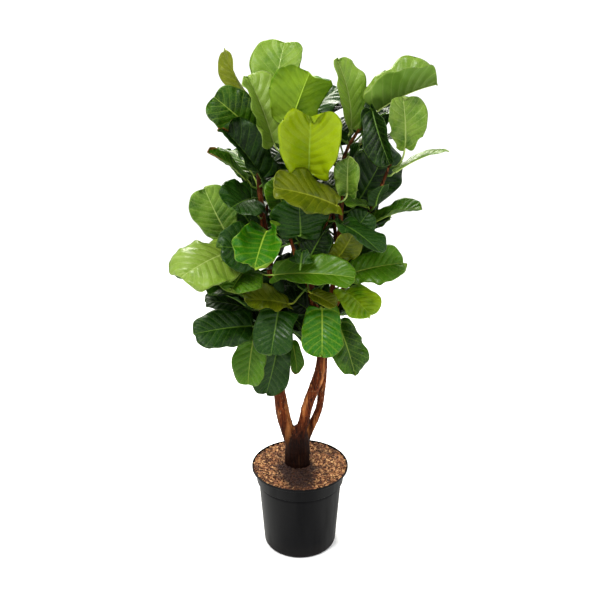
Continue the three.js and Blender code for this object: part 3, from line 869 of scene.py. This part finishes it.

# %% [markdown]
# ## Waxy leaf skin
# One finish serves all leaves, in lit and shaded copies: the bright slot's colours carry painted
# light and a painted yellow glow, the pale slot's a painted sheen and the dark slot's painted
# shade, and how far a leaf leans to its slot's light tone follows both how old it is and how it
# is lit. The cuticle is wax, so the skin is 0.28 to 0.42 rough on top with an IOR of 1.5, and the
# light that gets into the blade comes out of the other side yellow-green, which a translucent
# shader gives. Midrib, veins and margin are paler because they hold little green. The underside
# is duller and greyer. Old tips go brown from the edge.

# %% Leaf materials
# Lit and shaded copies of one leaf colour: leaf_bright holds painted light and a painted yellow glow,
# leaf_pale a painted sheen, leaf_dark painted shade.
LIT_AND_SHADED_LEAF_TONES = {
    # slot: top dark, top light, vein, underside, light through the blade
    "leaf_bright": ("#2c7206", "#96a804", "#a8c444", "#7c9626", "#a8c008"),
    "leaf_yellow": ("#445804", "#6e7604", "#a0a834", "#6c7820", "#8f9a08"),
    "leaf_pale": ("#2e5c10", "#86a03c", "#b6c874", "#6e8838", "#7ca410"),
    "leaf_mid": ("#123802", "#4e7808", "#98b048", "#506e24", "#508a04"),
    "leaf_dark": ("#051c02", "#1e4608", "#668832", "#2c4c18", "#205204"),
}
STALK_GREEN = "#5c7a2a"
BURNT_DARK = "#4a2c12"
BURNT_LIGHT = "#a9793a"
MOTTLE_SIZE = 42 * MM
GRAIN_SIZE = 2.2 * MM


def burnt_tip(tree, at, mottle):
    """Where a dry leaf is brown: a ragged rim of its outer half, wider the drier it is."""
    outer = add(tree, "ShaderNodeMapRange", SOFT_STEP, Value=at["part"], _1=0.55, _2=0.95)
    dryness = add(tree, "ShaderNodeMath", MULTIPLY, _0=at["dryness"], _1=outer)
    ragged = add(tree, "ShaderNodeMath", MULTIPLY_ADD, _0=mottle, _1=0.020, _2=at["edge"])
    reach = add(tree, "ShaderNodeMath", MULTIPLY, _0=dryness, _1=0.02)
    inward = add(tree, "ShaderNodeMath", {"operation": "SUBTRACT"}, _0=ragged, _1=reach)
    rim = add(tree, "ShaderNodeMath", {"operation": "LESS_THAN"}, _0=inward, _1=0.007)
    dry = add(tree, "ShaderNodeMapRange", SOFT_STEP, Value=dryness, _1=0.0, _2=0.2)
    return add(tree, "ShaderNodeMath", MULTIPLY, _0=rim, _1=dry)


def leaf_skin(slot):
    """A firm waxy blade with pale veins that glows a little when lit from behind."""
    dark, light, pale, below, lit_through = (linear(code) for code in LIT_AND_SHADED_LEAF_TONES[slot])
    material, tree = new_material("waxy_leaf_painted_light_" + slot.split("_")[1])
    at = leaf_places(tree)
    rib, vein, halo, margin, net = leaf_lines(tree, at)
    mottle = add(tree, "ShaderNodeTexNoise", Vector=at["spot"], Scale=1 / MOTTLE_SIZE, Detail=3.0)
    grain = add(tree, "ShaderNodeTexNoise", Vector=at["spot"], Scale=1 / GRAIN_SIZE, Detail=2.0)

    # A leaf's own share of its slot's light tone stands partly for how old the leaf is and partly for
    # painted light; the mottle adds random tone.
    own_tone_share = add(tree, "ShaderNodeMath", MULTIPLY, _0=at["seed"], _1=0.75)
    tone_share = add(tree, "ShaderNodeMath", MULTIPLY_ADD, _0=mottle, _1=1.4, _2=own_tone_share)
    tone = add(tree, "ShaderNodeMapRange", SOFT_STEP, Value=tone_share, _1=0.5, _2=1.4)
    blade = add(tree, "ShaderNodeMix", COLORS, _0=tone, _6=dark, _7=light)
    blade = add(tree, "ShaderNodeMix", COLORS, _0=halo, _6=blade, _7=light)
    faint = add(tree, "ShaderNodeMath", MULTIPLY, _0=net, _1=0.22)
    blade = add(tree, "ShaderNodeMix", COLORS, _0=faint, _6=blade, _7=pale)
    soft_vein = add(tree, "ShaderNodeMath", MULTIPLY, _0=vein, _1=0.3)
    lines = add(tree, "ShaderNodeMath", MAXIMUM, _0=soft_vein, _1=rib)
    soft_margin = add(tree, "ShaderNodeMath", MULTIPLY, _0=margin, _1=0.55)
    lines = add(tree, "ShaderNodeMath", MAXIMUM, _0=lines, _1=soft_margin)
    blade = add(tree, "ShaderNodeMix", COLORS, _0=lines, _6=blade, _7=pale)

    under_lines = add(tree, "ShaderNodeMath", MULTIPLY, _0=lines, _1=0.8)
    under = add(tree, "ShaderNodeMix", COLORS, _0=under_lines, _6=below, _7=pale)
    is_under = add(tree, "ShaderNodeMath", MULTIPLY, _0=at["under"], _1=0.85)
    blade = add(tree, "ShaderNodeMix", COLORS, _0=is_under, _6=blade, _7=under)
    past_stalk = add(tree, "ShaderNodeMapRange", SOFT_STEP, Value=at["part"], _1=0.0, _2=0.3)
    stalk = add(tree, "ShaderNodeMix", COLORS, _0=past_stalk, _6=linear(STALK_GREEN), _7=pale)
    blade = add(tree, "ShaderNodeMix", COLORS, _0=at["rod"], _6=blade, _7=stalk)
    brown = add(tree, "ShaderNodeMix", COLORS, _0=grain, _6=linear(BURNT_DARK), _7=linear(BURNT_LIGHT))
    burnt = burnt_tip(tree, at, mottle)
    blade = add(tree, "ShaderNodeMix", COLORS, _0=burnt, _6=blade, _7=brown)

    waxy = add(tree, "ShaderNodeMapRange", SOFT_STEP, Value=mottle, _1=0.3, _2=0.7, _3=0.28, _4=0.42)
    rough = add(tree, "ShaderNodeMath", MULTIPLY_ADD, _0=at["under"], _1=0.22, _2=waxy)
    valleys = add(tree, "ShaderNodeMath", MAXIMUM, _0=rib, _1=vein)
    skin_grain = add(tree, "ShaderNodeMath", MULTIPLY, _0=grain, _1=0.16)
    cells = add(tree, "ShaderNodeMath", MULTIPLY_ADD, _0=net, _1=-0.35, _2=skin_grain)
    relief = add(tree, "ShaderNodeMath", MULTIPLY_ADD, _0=valleys, _1=-0.8, _2=cells)
    bump = add(tree, "ShaderNodeBump", Strength=0.5, Distance=0.9 * MM, Height=relief)
    skin = add(
        tree, "ShaderNodeBsdfPrincipled", Base_Color=blade, Roughness=rough, IOR=1.5, Normal=bump
    )
    skin.inputs["Specular IOR Level"].default_value = 0.38

    deep_glow = tuple(0.6 * a + 0.4 * b for a, b in zip(dark, lit_through))
    young = add(tree, "ShaderNodeMapRange", SOFT_STEP, Value=tone, _1=0.0, _2=0.5)
    glow_color = add(tree, "ShaderNodeMix", COLORS, _0=young, _6=deep_glow, _7=lit_through)
    shadow = add(tree, "ShaderNodeMath", MULTIPLY, _0=lines, _1=0.5)
    glow_color = add(tree, "ShaderNodeMix", COLORS, _0=shadow, _6=glow_color, _7=pale)
    glow = add(tree, "ShaderNodeBsdfTranslucent", Color=glow_color, Normal=bump)
    share = add(tree, "ShaderNodeMath", MULTIPLY_ADD, _0=at["rod"], _1=-0.4, _2=0.4)
    both = add(tree, "ShaderNodeMixShader", Fac=share, _1=skin, _2=glow)
    add(tree, "ShaderNodeOutputMaterial", Surface=both)
    return material


LIT_AND_SHADED_LEAF_SKINS = {slot: leaf_skin(slot) for slot in LIT_AND_SHADED_LEAF_TONES}
print("leaf finishes:", ", ".join(material.name for material in LIT_AND_SHADED_LEAF_SKINS.values()))

# %% [markdown]
# ## The leaves of the frame
# Every CAD leaf gets its fine leaf. Some are crinkled, because they unfolded in dry air, and a
# few have brown tips. How far a leaf leans to its slot's light tone runs from about 0 to 1; it
# stands partly for how old the leaf is and partly for painted light, such as the painted glow of
# the backlit centre leaf, and the others take a random number. The stalk starts inside the bark,
# so it grows from the wood.

# %% Fine leaves in place of the CAD leaves
CRINKLED = {
    "leaf_right_crinkled": 2.2,
    "leaf_centre_crumpled": 1.8,
    "leaf_cup_bright": 1.5,
    "leaf_front_low": 1.3,
}
DRY_TIPS = {
    "leaf_left_spike": 0.7,
    "leaf_left_cupped": 0.3,
    "leaf_left_brown_edged": 0.8,
    "leaf_low_scrap": 0.4,
}
# Share of the light tone per leaf: partly how old a leaf is, partly painted light, as the painted glow of
# leaf_centre_bright.
LIGHT_TONE_SHARE = {
    "leaf_centre_bright": 1.0,
    "leaf_cup_bright": -0.5,
    "leaf_front_low": -0.3,
    "leaf_top_backlit": 0.1,
    "leaf_right_round": 0.4,
    "leaf_left_big": 0.9,
    "leaf_tall_folded": 0.9,
}
STALK_KNOTS = np.array([0, 0.4, 0.75, 1.0])
COINCIDENT = 1e-4


def ring_middle(ring):
    return (ring[2] + ring[6]) / 2


for node, (root, rings, tip) in cad_leaves.items():
    blade_rings = rings[STALK_RINGS:]
    middles = [ring_middle(ring) for ring in rings[: STALK_RINGS + 1]]
    leave = middles[0] - root
    if np.linalg.norm(leave) < COINCIDENT:
        leave = middles[1] - root
    out = leave / np.linalg.norm(leave)
    points = np.array([root, *middles[1:]])
    stalk = through(STALK_KNOTS, points, np.linspace(0, 1, STALK_STEPS))
    stalk = np.vstack([root - out * BURIED, stalk])
    fine = make_leaf(
        node + "_fine", blade_rings, tip, stalk,
        CRINKLED.get(node, 1.0), DRY_TIPS.get(node, 0.0), LIGHT_TONE_SHARE.get(node),
    )
    fine.data.materials.append(LIT_AND_SHADED_LEAF_SKINS[slot_of[node]])
    keep(fine, slot_of[node], node)
print("fine leaves:", len(cad_leaves))

# %% [markdown]
# ## Soil
# The potting soil fills the pot nearly to the rim. Only its dark top shows, between the chips that
# lie on it. It is a turned solid with a heaped, lumpy top, which lies against the flared lip.

# %% Soil shape and finish
SOIL_EDGE = 136.8 * MM
SOIL_TOP = 244.8 * MM
SOIL_HEAP = 3 * MM
LUMP = 1.2 * MM
POT_GAP = 0.4 * MM


def make_soil():
    narrow = body_radius(COLLAR_FOOT) - WALL - 1.5 * MM
    wide = collar_radius(LIP_FOOT) - WALL - 0.5 * MM
    floor = FLOOR_THICKNESS + POT_GAP
    wall = [(0, floor), (BASE_RADIUS - 9 * MM, floor), (narrow, COLLAR_FOOT - 2 * MM)]
    wall += [(narrow + COLLAR_STEP, COLLAR_FOOT + 7 * MM), (wide, LIP_FOOT)]
    wall += [(SOIL_EDGE, POT_TOP - 5.2 * MM)]
    top = [(radius * SOIL_EDGE, SOIL_TOP) for radius in np.linspace(0.99, 0.03, 34)]
    profile = [Vector(p) for p in [*wall, *top, (0, SOIL_TOP)]]
    vertices, faces = spin(profile, 128)
    shaped = []
    for x, y, z in vertices:
        if z > SOIL_TOP - WELD:
            from_axis = math.hypot(x, y)
            heap = SOIL_HEAP * (1 - (from_axis / SOIL_EDGE) ** 2)
            broad = noise.noise(Vector((x * 38, y * 38, 0)))
            fine = noise.noise(Vector((x * 130, y * 130, 4)))
            fade = min(1, (SOIL_EDGE - from_axis) / (8 * MM) + 0.2)
            z += heap + (2.2 * broad + fine) * LUMP * fade
        shaped.append((x, y, z))
    return mesh_object("potting_soil", shaped, faces)


def potting_soil():
    """Damp peat: almost black, matt and crumbly."""
    material, tree = new_material("damp_potting_soil")
    place = add(tree, "ShaderNodeTexCoord").outputs["Object"]
    crumbs = add(tree, "ShaderNodeTexNoise", Vector=place, Scale=1 / (3 * MM), Detail=4.0)
    color = add(tree, "ShaderNodeMix", COLORS, _0=crumbs, _6=linear("#1c0f0a"), _7=linear("#5a3620"))
    bump = add(tree, "ShaderNodeBump", Strength=1.0, Distance=1.5 * MM, Height=crumbs)
    peat = add(tree, "ShaderNodeBsdfPrincipled", Base_Color=color, Roughness=0.95, Normal=bump)
    add(tree, "ShaderNodeOutputMaterial", Surface=peat)
    return material


soil = make_soil()
soil.data.materials.append(potting_soil())
keep(soil, "bark_mulch", "soil")
print("soil:", len(soil.data.polygons), "faces")

# %% [markdown]
# ## Bark chips
# The mulch is crushed bark and coir: flat, splintered chips from 4 to 14 mm, golden to red-brown,
# lying every way and piled two or three deep. Thousands of copies of one thing are what Geometry
# Nodes are for: points are scattered over the soil's top, each gets a tapered chip with its own
# turn, tilt and size, and a noise then bends every chip a little differently. Each chip keeps a
# random number for its colour.

# %% Chips by Geometry Nodes
KINDS = {float: "NodeSocketFloat", int: "NodeSocketInt"}


def new_growth(name, sizes):
    """An empty geometry tree with a named input for each size."""
    tree = bpy.data.node_groups.new(name, "GeometryNodeTree")
    tree.interface.new_socket("Geometry", in_out="INPUT", socket_type="NodeSocketGeometry")
    tree.interface.new_socket("Geometry", in_out="OUTPUT", socket_type="NodeSocketGeometry")
    for label, value in sizes.items():
        tree.interface.new_socket(label, in_out="INPUT", socket_type=KINDS[type(value)])
    tree.interface.new_socket("Material", in_out="INPUT", socket_type="NodeSocketMaterial")
    return tree, add(tree, "NodeGroupInput").outputs


def grow(piece, tree, sizes, material):
    """Runs the tree on the piece with these sizes; the result becomes its plain mesh."""
    values = {**sizes, "Material": material}
    modifier = piece.modifiers.new(tree.name, "NODES")
    modifier.node_group = tree
    for item in tree.interface.items_tree:
        if item.in_out == "INPUT" and item.name in values:
            modifier[item.identifier] = values[item.name]
    apply_modifiers(piece)


def chip_tree(sizes):
    tree, given = new_growth("scatter_chips", sizes)
    points = add(
        tree, "GeometryNodeDistributePointsOnFaces", _0=given["Geometry"], Density=given["Density"],
        Seed=given["Seed"],
    )
    size = add(tree, "ShaderNodeCombineXYZ", X=given["Length"], Y=given["Width"], Z=given["Thickness"])
    block = add(tree, "GeometryNodeMeshCube", Size=size, Vertices_X=4, Vertices_Y=3, Vertices_Z=2)
    where = add(tree, "GeometryNodeInputPosition")
    x, y, z = add(tree, "ShaderNodeSeparateXYZ", Vector=where).outputs
    off_middle = add(tree, "ShaderNodeMath", {"operation": "ABSOLUTE"}, _0=x)
    part = add(tree, "ShaderNodeMath", {"operation": "DIVIDE"}, _0=off_middle, _1=given["Length"])
    thin = add(tree, "ShaderNodeMath", MULTIPLY_ADD, _0=part, _1=-1.5, _2=1.15)
    narrow = add(tree, "ShaderNodeMath", MULTIPLY, _0=y, _1=thin)
    flat = add(tree, "ShaderNodeMath", MULTIPLY, _0=z, _1=thin)
    tapered = add(tree, "ShaderNodeCombineXYZ", X=x, Y=narrow, Z=flat)
    chip = add(tree, "GeometryNodeSetPosition", Geometry=block, Position=tapered)
    tilt = add(
        tree, "FunctionNodeRandomValue", {"data_type": "FLOAT_VECTOR"},
        _0=(-0.55, -0.45, 0.0), _1=(0.55, 0.45, 6.283), Seed=given["Seed"],
    )
    grade = add(tree, "FunctionNodeRandomValue", _2=0.0, _3=1.0, Seed=given["Seed"])
    mostly_small = add(tree, "ShaderNodeMath", {"operation": "POWER"}, _0=grade, _1=2.2)
    scale = add(tree, "ShaderNodeMapRange", Value=mostly_small, _3=0.42, _4=1.35)
    chips = add(
        tree, "GeometryNodeInstanceOnPoints", Points=points, Instance=chip, Rotation=tilt, Scale=scale
    )
    color_seed = add(tree, "FunctionNodeRandomValue", _2=0.0, _3=1.0, Seed=9)
    stored = add(
        tree, "GeometryNodeStoreNamedAttribute", {"domain": "INSTANCE"}, Geometry=chips,
        Name="chip", Value=color_seed,
    )
    real = add(tree, "GeometryNodeRealizeInstances", Geometry=stored)
    bend = add(tree, "ShaderNodeTexNoise", Vector=where, Scale=1 / (7 * MM), Detail=1.0).outputs["Color"]
    centred = add(tree, "ShaderNodeVectorMath", {"operation": "SUBTRACT"}, _0=bend, _1=(0.5, 0.5, 0.5))
    push = add(tree, "ShaderNodeVectorMath", {"operation": "SCALE"}, _0=centred, Scale=5 * MM)
    bent = add(tree, "GeometryNodeSetPosition", Geometry=real, Offset=push)
    finished = add(tree, "GeometryNodeSetMaterial", Geometry=bent, Material=given["Material"])
    add(tree, "NodeGroupOutput", _0=finished)
    return tree


def scatter_surface(name, lift, inner, outer):
    """The ring of soil top that carries chips."""
    rings, sides = 12, 96
    vertices, faces = [], []
    for k in range(rings + 1):
        radius = inner + (outer - inner) * k / rings
        for i in range(sides):
            angle = 2 * math.pi * i / sides
            heap = SOIL_HEAP * (1 - (radius / SOIL_EDGE) ** 2)
            vertices.append((radius * math.cos(angle), radius * math.sin(angle), SOIL_TOP + heap + lift))
    for k in range(rings):
        for i in range(sides):
            j = (i + 1) % sides
            faces.append((k * sides + i, (k + 1) * sides + i, (k + 1) * sides + j, k * sides + j))
    return mesh_object(name, vertices, faces)


def crushed_bark():
    """Dry splintered bark: each chip its own brown, darker in random patches, with a painted shadow, nearly
    black, around and in front of the trunk.
    """
    material, tree = new_material("crushed_bark_chips")
    place = add(tree, "ShaderNodeTexCoord").outputs["Object"]
    own = add(tree, "ShaderNodeAttribute", {"attribute_name": "chip"}).outputs["Fac"]
    browns = add(tree, "ShaderNodeValToRGB", Fac=own)
    stops = browns.color_ramp.elements
    stops[0].color = linear(CHIP_BROWNS[0][1])
    stops[1].position = CHIP_BROWNS[-1][0]
    stops[1].color = linear(CHIP_BROWNS[-1][1])
    for position, code in CHIP_BROWNS[1:-1]:
        stops.new(position).color = linear(code)
    patch = add(tree, "ShaderNodeTexNoise", Vector=place, Scale=24.0, Detail=3.0)
    # Painted shadow: the chips around and in front of the trunk go nearly black; the spots are random dark
    # patches of the mulch.
    centred = add(tree, "ShaderNodeMapping", Vector=place, _1=(0.008, 0.022, 0), Scale=(1, 0.55, 0))
    from_stem = add(tree, "ShaderNodeVectorMath", {"operation": "LENGTH"}, _0=centred)
    ragged = add(tree, "ShaderNodeMath", MULTIPLY_ADD, _0=patch, _1=-0.075, _2=from_stem)
    painted_shade = add(tree, "ShaderNodeMapRange", Value=ragged, _1=0.03, _2=0.005, _3=0.0, _4=0.92)
    spots = add(tree, "ShaderNodeMapRange", Value=patch, _1=0.56, _2=0.66, _3=0.0, _4=0.7)
    darkened = add(tree, "ShaderNodeMath", MAXIMUM, _0=painted_shade, _1=spots)
    color = add(tree, "ShaderNodeMix", COLORS, _0=darkened, _6=browns, _7=linear("#200a06"))
    fibre = add(tree, "ShaderNodeTexNoise", Vector=place, Scale=1 / (1.3 * MM), Detail=3.0)
    bump = add(tree, "ShaderNodeBump", Strength=0.6, Distance=0.5 * MM, Height=fibre)
    bark_chip = add(tree, "ShaderNodeBsdfPrincipled", Base_Color=color, Roughness=0.8, Normal=bump)
    add(tree, "ShaderNodeOutputMaterial", Surface=bark_chip)
    return material


CHIP_BROWNS = ((0.0, "#2a0f08"), (0.2, "#5a341d"), (0.45, "#7e5232"), (0.7, "#966a42"), (0.92, "#ae875c"))
CHIP_SIZES = {"Density": 62000.0, "Length": 8 * MM, "Width": 4.8 * MM, "Thickness": 2.2 * MM, "Seed": 3}
chips = scatter_surface("bark_chips", lift=1.8 * MM, inner=30 * MM, outer=SOIL_EDGE - 2.5 * MM)
grow(chips, chip_tree(CHIP_SIZES), CHIP_SIZES, crushed_bark())
keep(chips, "bark_mulch")
print("chips:", len(chips.data.polygons), "faces")

# %% [markdown]
# ## Bark scales
# Every leaf of a fig starts inside a papery sheath. When the leaf has grown, the sheath dries to
# brown scales that cling to the wood and peel at their ends. Geometry Nodes serve here too:
# points on the wood, a thin curved scale on each, its length along the stem, and a random size.

# %% Scales by Geometry Nodes
def scale_tree(sizes):
    tree, given = new_growth("scatter_scales", sizes)
    points = add(
        tree, "GeometryNodeDistributePointsOnFaces", _0=given["Geometry"], Density=given["Density"],
        Seed=given["Seed"],
    )
    size = add(tree, "ShaderNodeCombineXYZ", X=given["Length"], Y=given["Width"], Z=given["Thickness"])
    sheet = add(tree, "GeometryNodeMeshCube", Size=size, Vertices_X=5, Vertices_Y=3, Vertices_Z=2)
    x, y, z = add(
        tree, "ShaderNodeSeparateXYZ", Vector=add(tree, "GeometryNodeInputPosition")
    ).outputs
    part = add(tree, "ShaderNodeMath", {"operation": "DIVIDE"}, _0=x, _1=given["Length"])
    squared = add(tree, "ShaderNodeMath", MULTIPLY, _0=part, _1=part)
    thin = add(tree, "ShaderNodeMath", MULTIPLY_ADD, _0=squared, _1=-3.2, _2=1.0)
    narrow = add(tree, "ShaderNodeMath", MULTIPLY, _0=y, _1=thin)
    peeled = add(tree, "ShaderNodeMath", MULTIPLY_ADD, _0=squared, _1=5 * MM, _2=z)
    curved = add(tree, "ShaderNodeCombineXYZ", X=x, Y=narrow, Z=peeled)
    scale = add(tree, "GeometryNodeSetPosition", Geometry=sheet, Position=curved)
    upright = add(
        tree, "FunctionNodeAlignRotationToVector", {"axis": "X", "pivot_axis": "Z"},
        Rotation=points.outputs["Rotation"], Vector=(0.0, 0.0, 1.0),
    )
    grade = add(tree, "FunctionNodeRandomValue", _2=0.45, _3=1.3, Seed=given["Seed"])
    scales = add(
        tree, "GeometryNodeInstanceOnPoints", Points=points, Instance=scale, Rotation=upright, Scale=grade
    )
    real = add(tree, "GeometryNodeRealizeInstances", Geometry=scales)
    finished = add(tree, "GeometryNodeSetMaterial", Geometry=real, Material=given["Material"])
    add(tree, "NodeGroupOutput", _0=finished)
    return tree


def papery_scale():
    """Dry sheath: matt tan paper, browner in patches."""
    material, tree = new_material("papery_sheath_scale")
    place = add(tree, "ShaderNodeTexCoord").outputs["Object"]
    tone = add(tree, "ShaderNodeTexNoise", Vector=place, Scale=1 / (14 * MM), Detail=2.0)
    spread = add(tree, "ShaderNodeMapRange", Value=tone, _1=0.35, _2=0.68)
    color = add(tree, "ShaderNodeMix", COLORS, _0=spread, _6=linear("#4a230f"), _7=linear("#95602f"))
    fibre = add(tree, "ShaderNodeTexNoise", Vector=place, Scale=1 / (1 * MM), Detail=2.0)
    bump = add(tree, "ShaderNodeBump", Strength=0.5, Distance=0.3 * MM, Height=fibre)
    paper = add(tree, "ShaderNodeBsdfPrincipled", Base_Color=color, Roughness=0.75, Normal=bump)
    add(tree, "ShaderNodeOutputMaterial", Surface=paper)
    return material


LOWEST_SCALE = 0.41
SCALE_SIZES = {"Density": 1500.0, "Length": 11 * MM, "Width": 4.5 * MM, "Thickness": 0.7 * MM, "Seed": 5}
scales = bpy.data.objects.new("bark_scales", stem.data.copy())
bpy.context.scene.collection.objects.link(scales)
above_soil = bmesh.new()
above_soil.from_mesh(scales.data)
low = [face for face in above_soil.faces if face.calc_center_median().z < LOWEST_SCALE]
bmesh.ops.delete(above_soil, geom=low, context="FACES")
above_soil.to_mesh(scales.data)
above_soil.free()
scales.data.materials.clear()
grow(scales, scale_tree(SCALE_SIZES), SCALE_SIZES, papery_scale())
keep(scales, "bark")
print("scales:", len(scales.data.polygons), "faces")

# %% [markdown]
# ## Leaves inside the crown
# A fig carries a leaf every few centimetres of stem, each turned about 137 degrees from the last.
# Inside the crown they are smaller, and nine in ten take the dark tone, which is painted shade;
# they close the gaps between the big outer leaves. So this step walks up the wood, tries a leaf at
# each step, and keeps it only where it touches no other leaf and not the wood, and stays inside
# the crown of the frame's own leaves.
# Each is a copy of one of five of those leaves, moved, turned and scaled, and grown like them.

# %% Inner leaves
GOLDEN_TURN = math.radians(137.5)
LOWEST_LEAF = 0.60
HIGHEST_LEAF = 1.25
LEAF_STEP = 5.5 * MM
TRIES = 26
SIDE_ROOM = 45 * MM
FRONT_ROOM = 40 * MM
BACK_ROOM = -12 * MM
BAND = 45 * MM
DONORS = ("leaf_right_shade", "leaf_left_oval", "leaf_centre_round", "leaf_left_inner", "leaf_back_middle")


def ring_skin(rings, tip):
    """A coarse skin over the rings, to test a leaf for touching."""
    points = [Vector(p) for ring in rings for p in ring] + [Vector(tip)]
    faces = []
    for k in range(len(rings) - 1):
        for i in range(RING_POINTS):
            j = (i + 1) % RING_POINTS
            near, far = k * RING_POINTS, (k + 1) * RING_POINTS
            faces.append((near + i, near + j, far + j, far + i))
    last = (len(rings) - 1) * RING_POINTS
    faces += [(last + i, last + (i + 1) % RING_POINTS, len(points) - 1) for i in range(RING_POINTS)]
    return points, faces


def moved_leaf(donor, foot, direction, facing, size):
    """The donor's blade rings and tip with a new foot, direction, upper side and size."""
    _, rings, tip = cad_leaves[donor]
    rings = rings[STALK_RINGS:]
    start = ring_middle(rings[0])
    old_ahead = (tip - start) / np.linalg.norm(tip - start)
    old_up = rings[MIDDLE_STATION, 2] - rings[MIDDLE_STATION, 6]
    old_up -= old_ahead * (old_up @ old_ahead)
    old_up /= np.linalg.norm(old_up)
    old = np.array([old_ahead, old_up, np.cross(old_ahead, old_up)])
    up = facing - direction * (facing @ direction)
    up /= np.linalg.norm(up)
    new = np.array([direction, up, np.cross(direction, up)])

    def move(points):
        return foot + size * ((points - start) @ old.T) @ new

    return move(rings), move(tip)


wood_shape = bmesh.new()
wood_shape.from_mesh(nodes["stem"].data)
wood_tree = BVHTree.FromBMesh(wood_shape)
taken = [wood_tree]
outline_points = []
for _, rings, tip in cad_leaves.values():
    taken.append(BVHTree.FromPolygons(*ring_skin(rings, tip)))
    outline_points += [*rings[STALK_RINGS:].reshape(-1, 3), tip]
outline_points = np.array(outline_points)


def inside_crown(points):
    """Whether the points lie within the frame's leaves, as wide as those are at their height."""
    for x, y, z in points[::3]:
        level = outline_points[np.abs(outline_points[:, 2] - z) < BAND]
        if len(level) < 8:
            return False
        if not level[:, 0].min() + SIDE_ROOM < x < level[:, 0].max() - SIDE_ROOM:
            return False
        if not level[:, 1].min() + FRONT_ROOM < y < level[:, 1].max() - BACK_ROOM:
            return False
    return True


wood_points = np.array([v.co for v in wood_shape.verts])
wood_shape.free()
rng = np.random.default_rng(4)
inner = []
turn = 0.0
for height in np.arange(LOWEST_LEAF, HIGHEST_LEAF, LEAF_STEP):
    level = wood_points[np.abs(wood_points[:, 2] - height) < 20 * MM]
    if not len(level):
        continue
    near = level[rng.integers(len(level))]
    for attempt in range(TRIES):
        turn += GOLDEN_TURN
        rise = math.radians(rng.uniform(-25, 55))
        size = rng.uniform(0.9, 1.15) * (1 - 0.5 * attempt / TRIES)
        donor = DONORS[rng.integers(len(DONORS))]
        level_reach = math.cos(rise)
        direction = np.array([math.cos(turn) * level_reach, math.sin(turn) * level_reach, math.sin(rise)])
        out = np.array([math.cos(turn), math.sin(turn), 0.35])
        out /= np.linalg.norm(out)
        root, _, _, _ = wood_tree.find_nearest(Vector(near + out * 12 * MM))
        root = np.array(root)
        foot = root + (out + direction) * 0.5 * rng.uniform(0.03, 0.055)
        facing = np.array([rng.normal(0, 0.25), rng.normal(0, 0.25) - 0.2, 1.0])
        blade_rings, tip = moved_leaf(donor, foot, direction, facing, size)
        points = np.vstack([blade_rings.reshape(-1, 3), tip])
        if not inside_crown(points):
            continue
        skin = BVHTree.FromPolygons(*ring_skin(blade_rings, tip))
        if any(skin.overlap(other) for other in taken):
            continue
        taken.append(skin)
        name = f"inner_leaf_{len(inner) + 1:02d}"
        stalk = stalk_path(root, ring_middle(blade_rings[0]), out, tip - foot)
        leaf = make_leaf(name, blade_rings, tip, stalk, 1.2)
        # Painted shade: nine in ten inner leaves take the dark slot, the shaded copy of the leaf colour.
        slot = "leaf_dark" if rng.uniform() < 0.9 else "leaf_mid"
        leaf.data.materials.append(LIT_AND_SHADED_LEAF_SKINS[slot])
        inner.append(keep(leaf, slot))
        break
print("inner leaves:", len(inner))
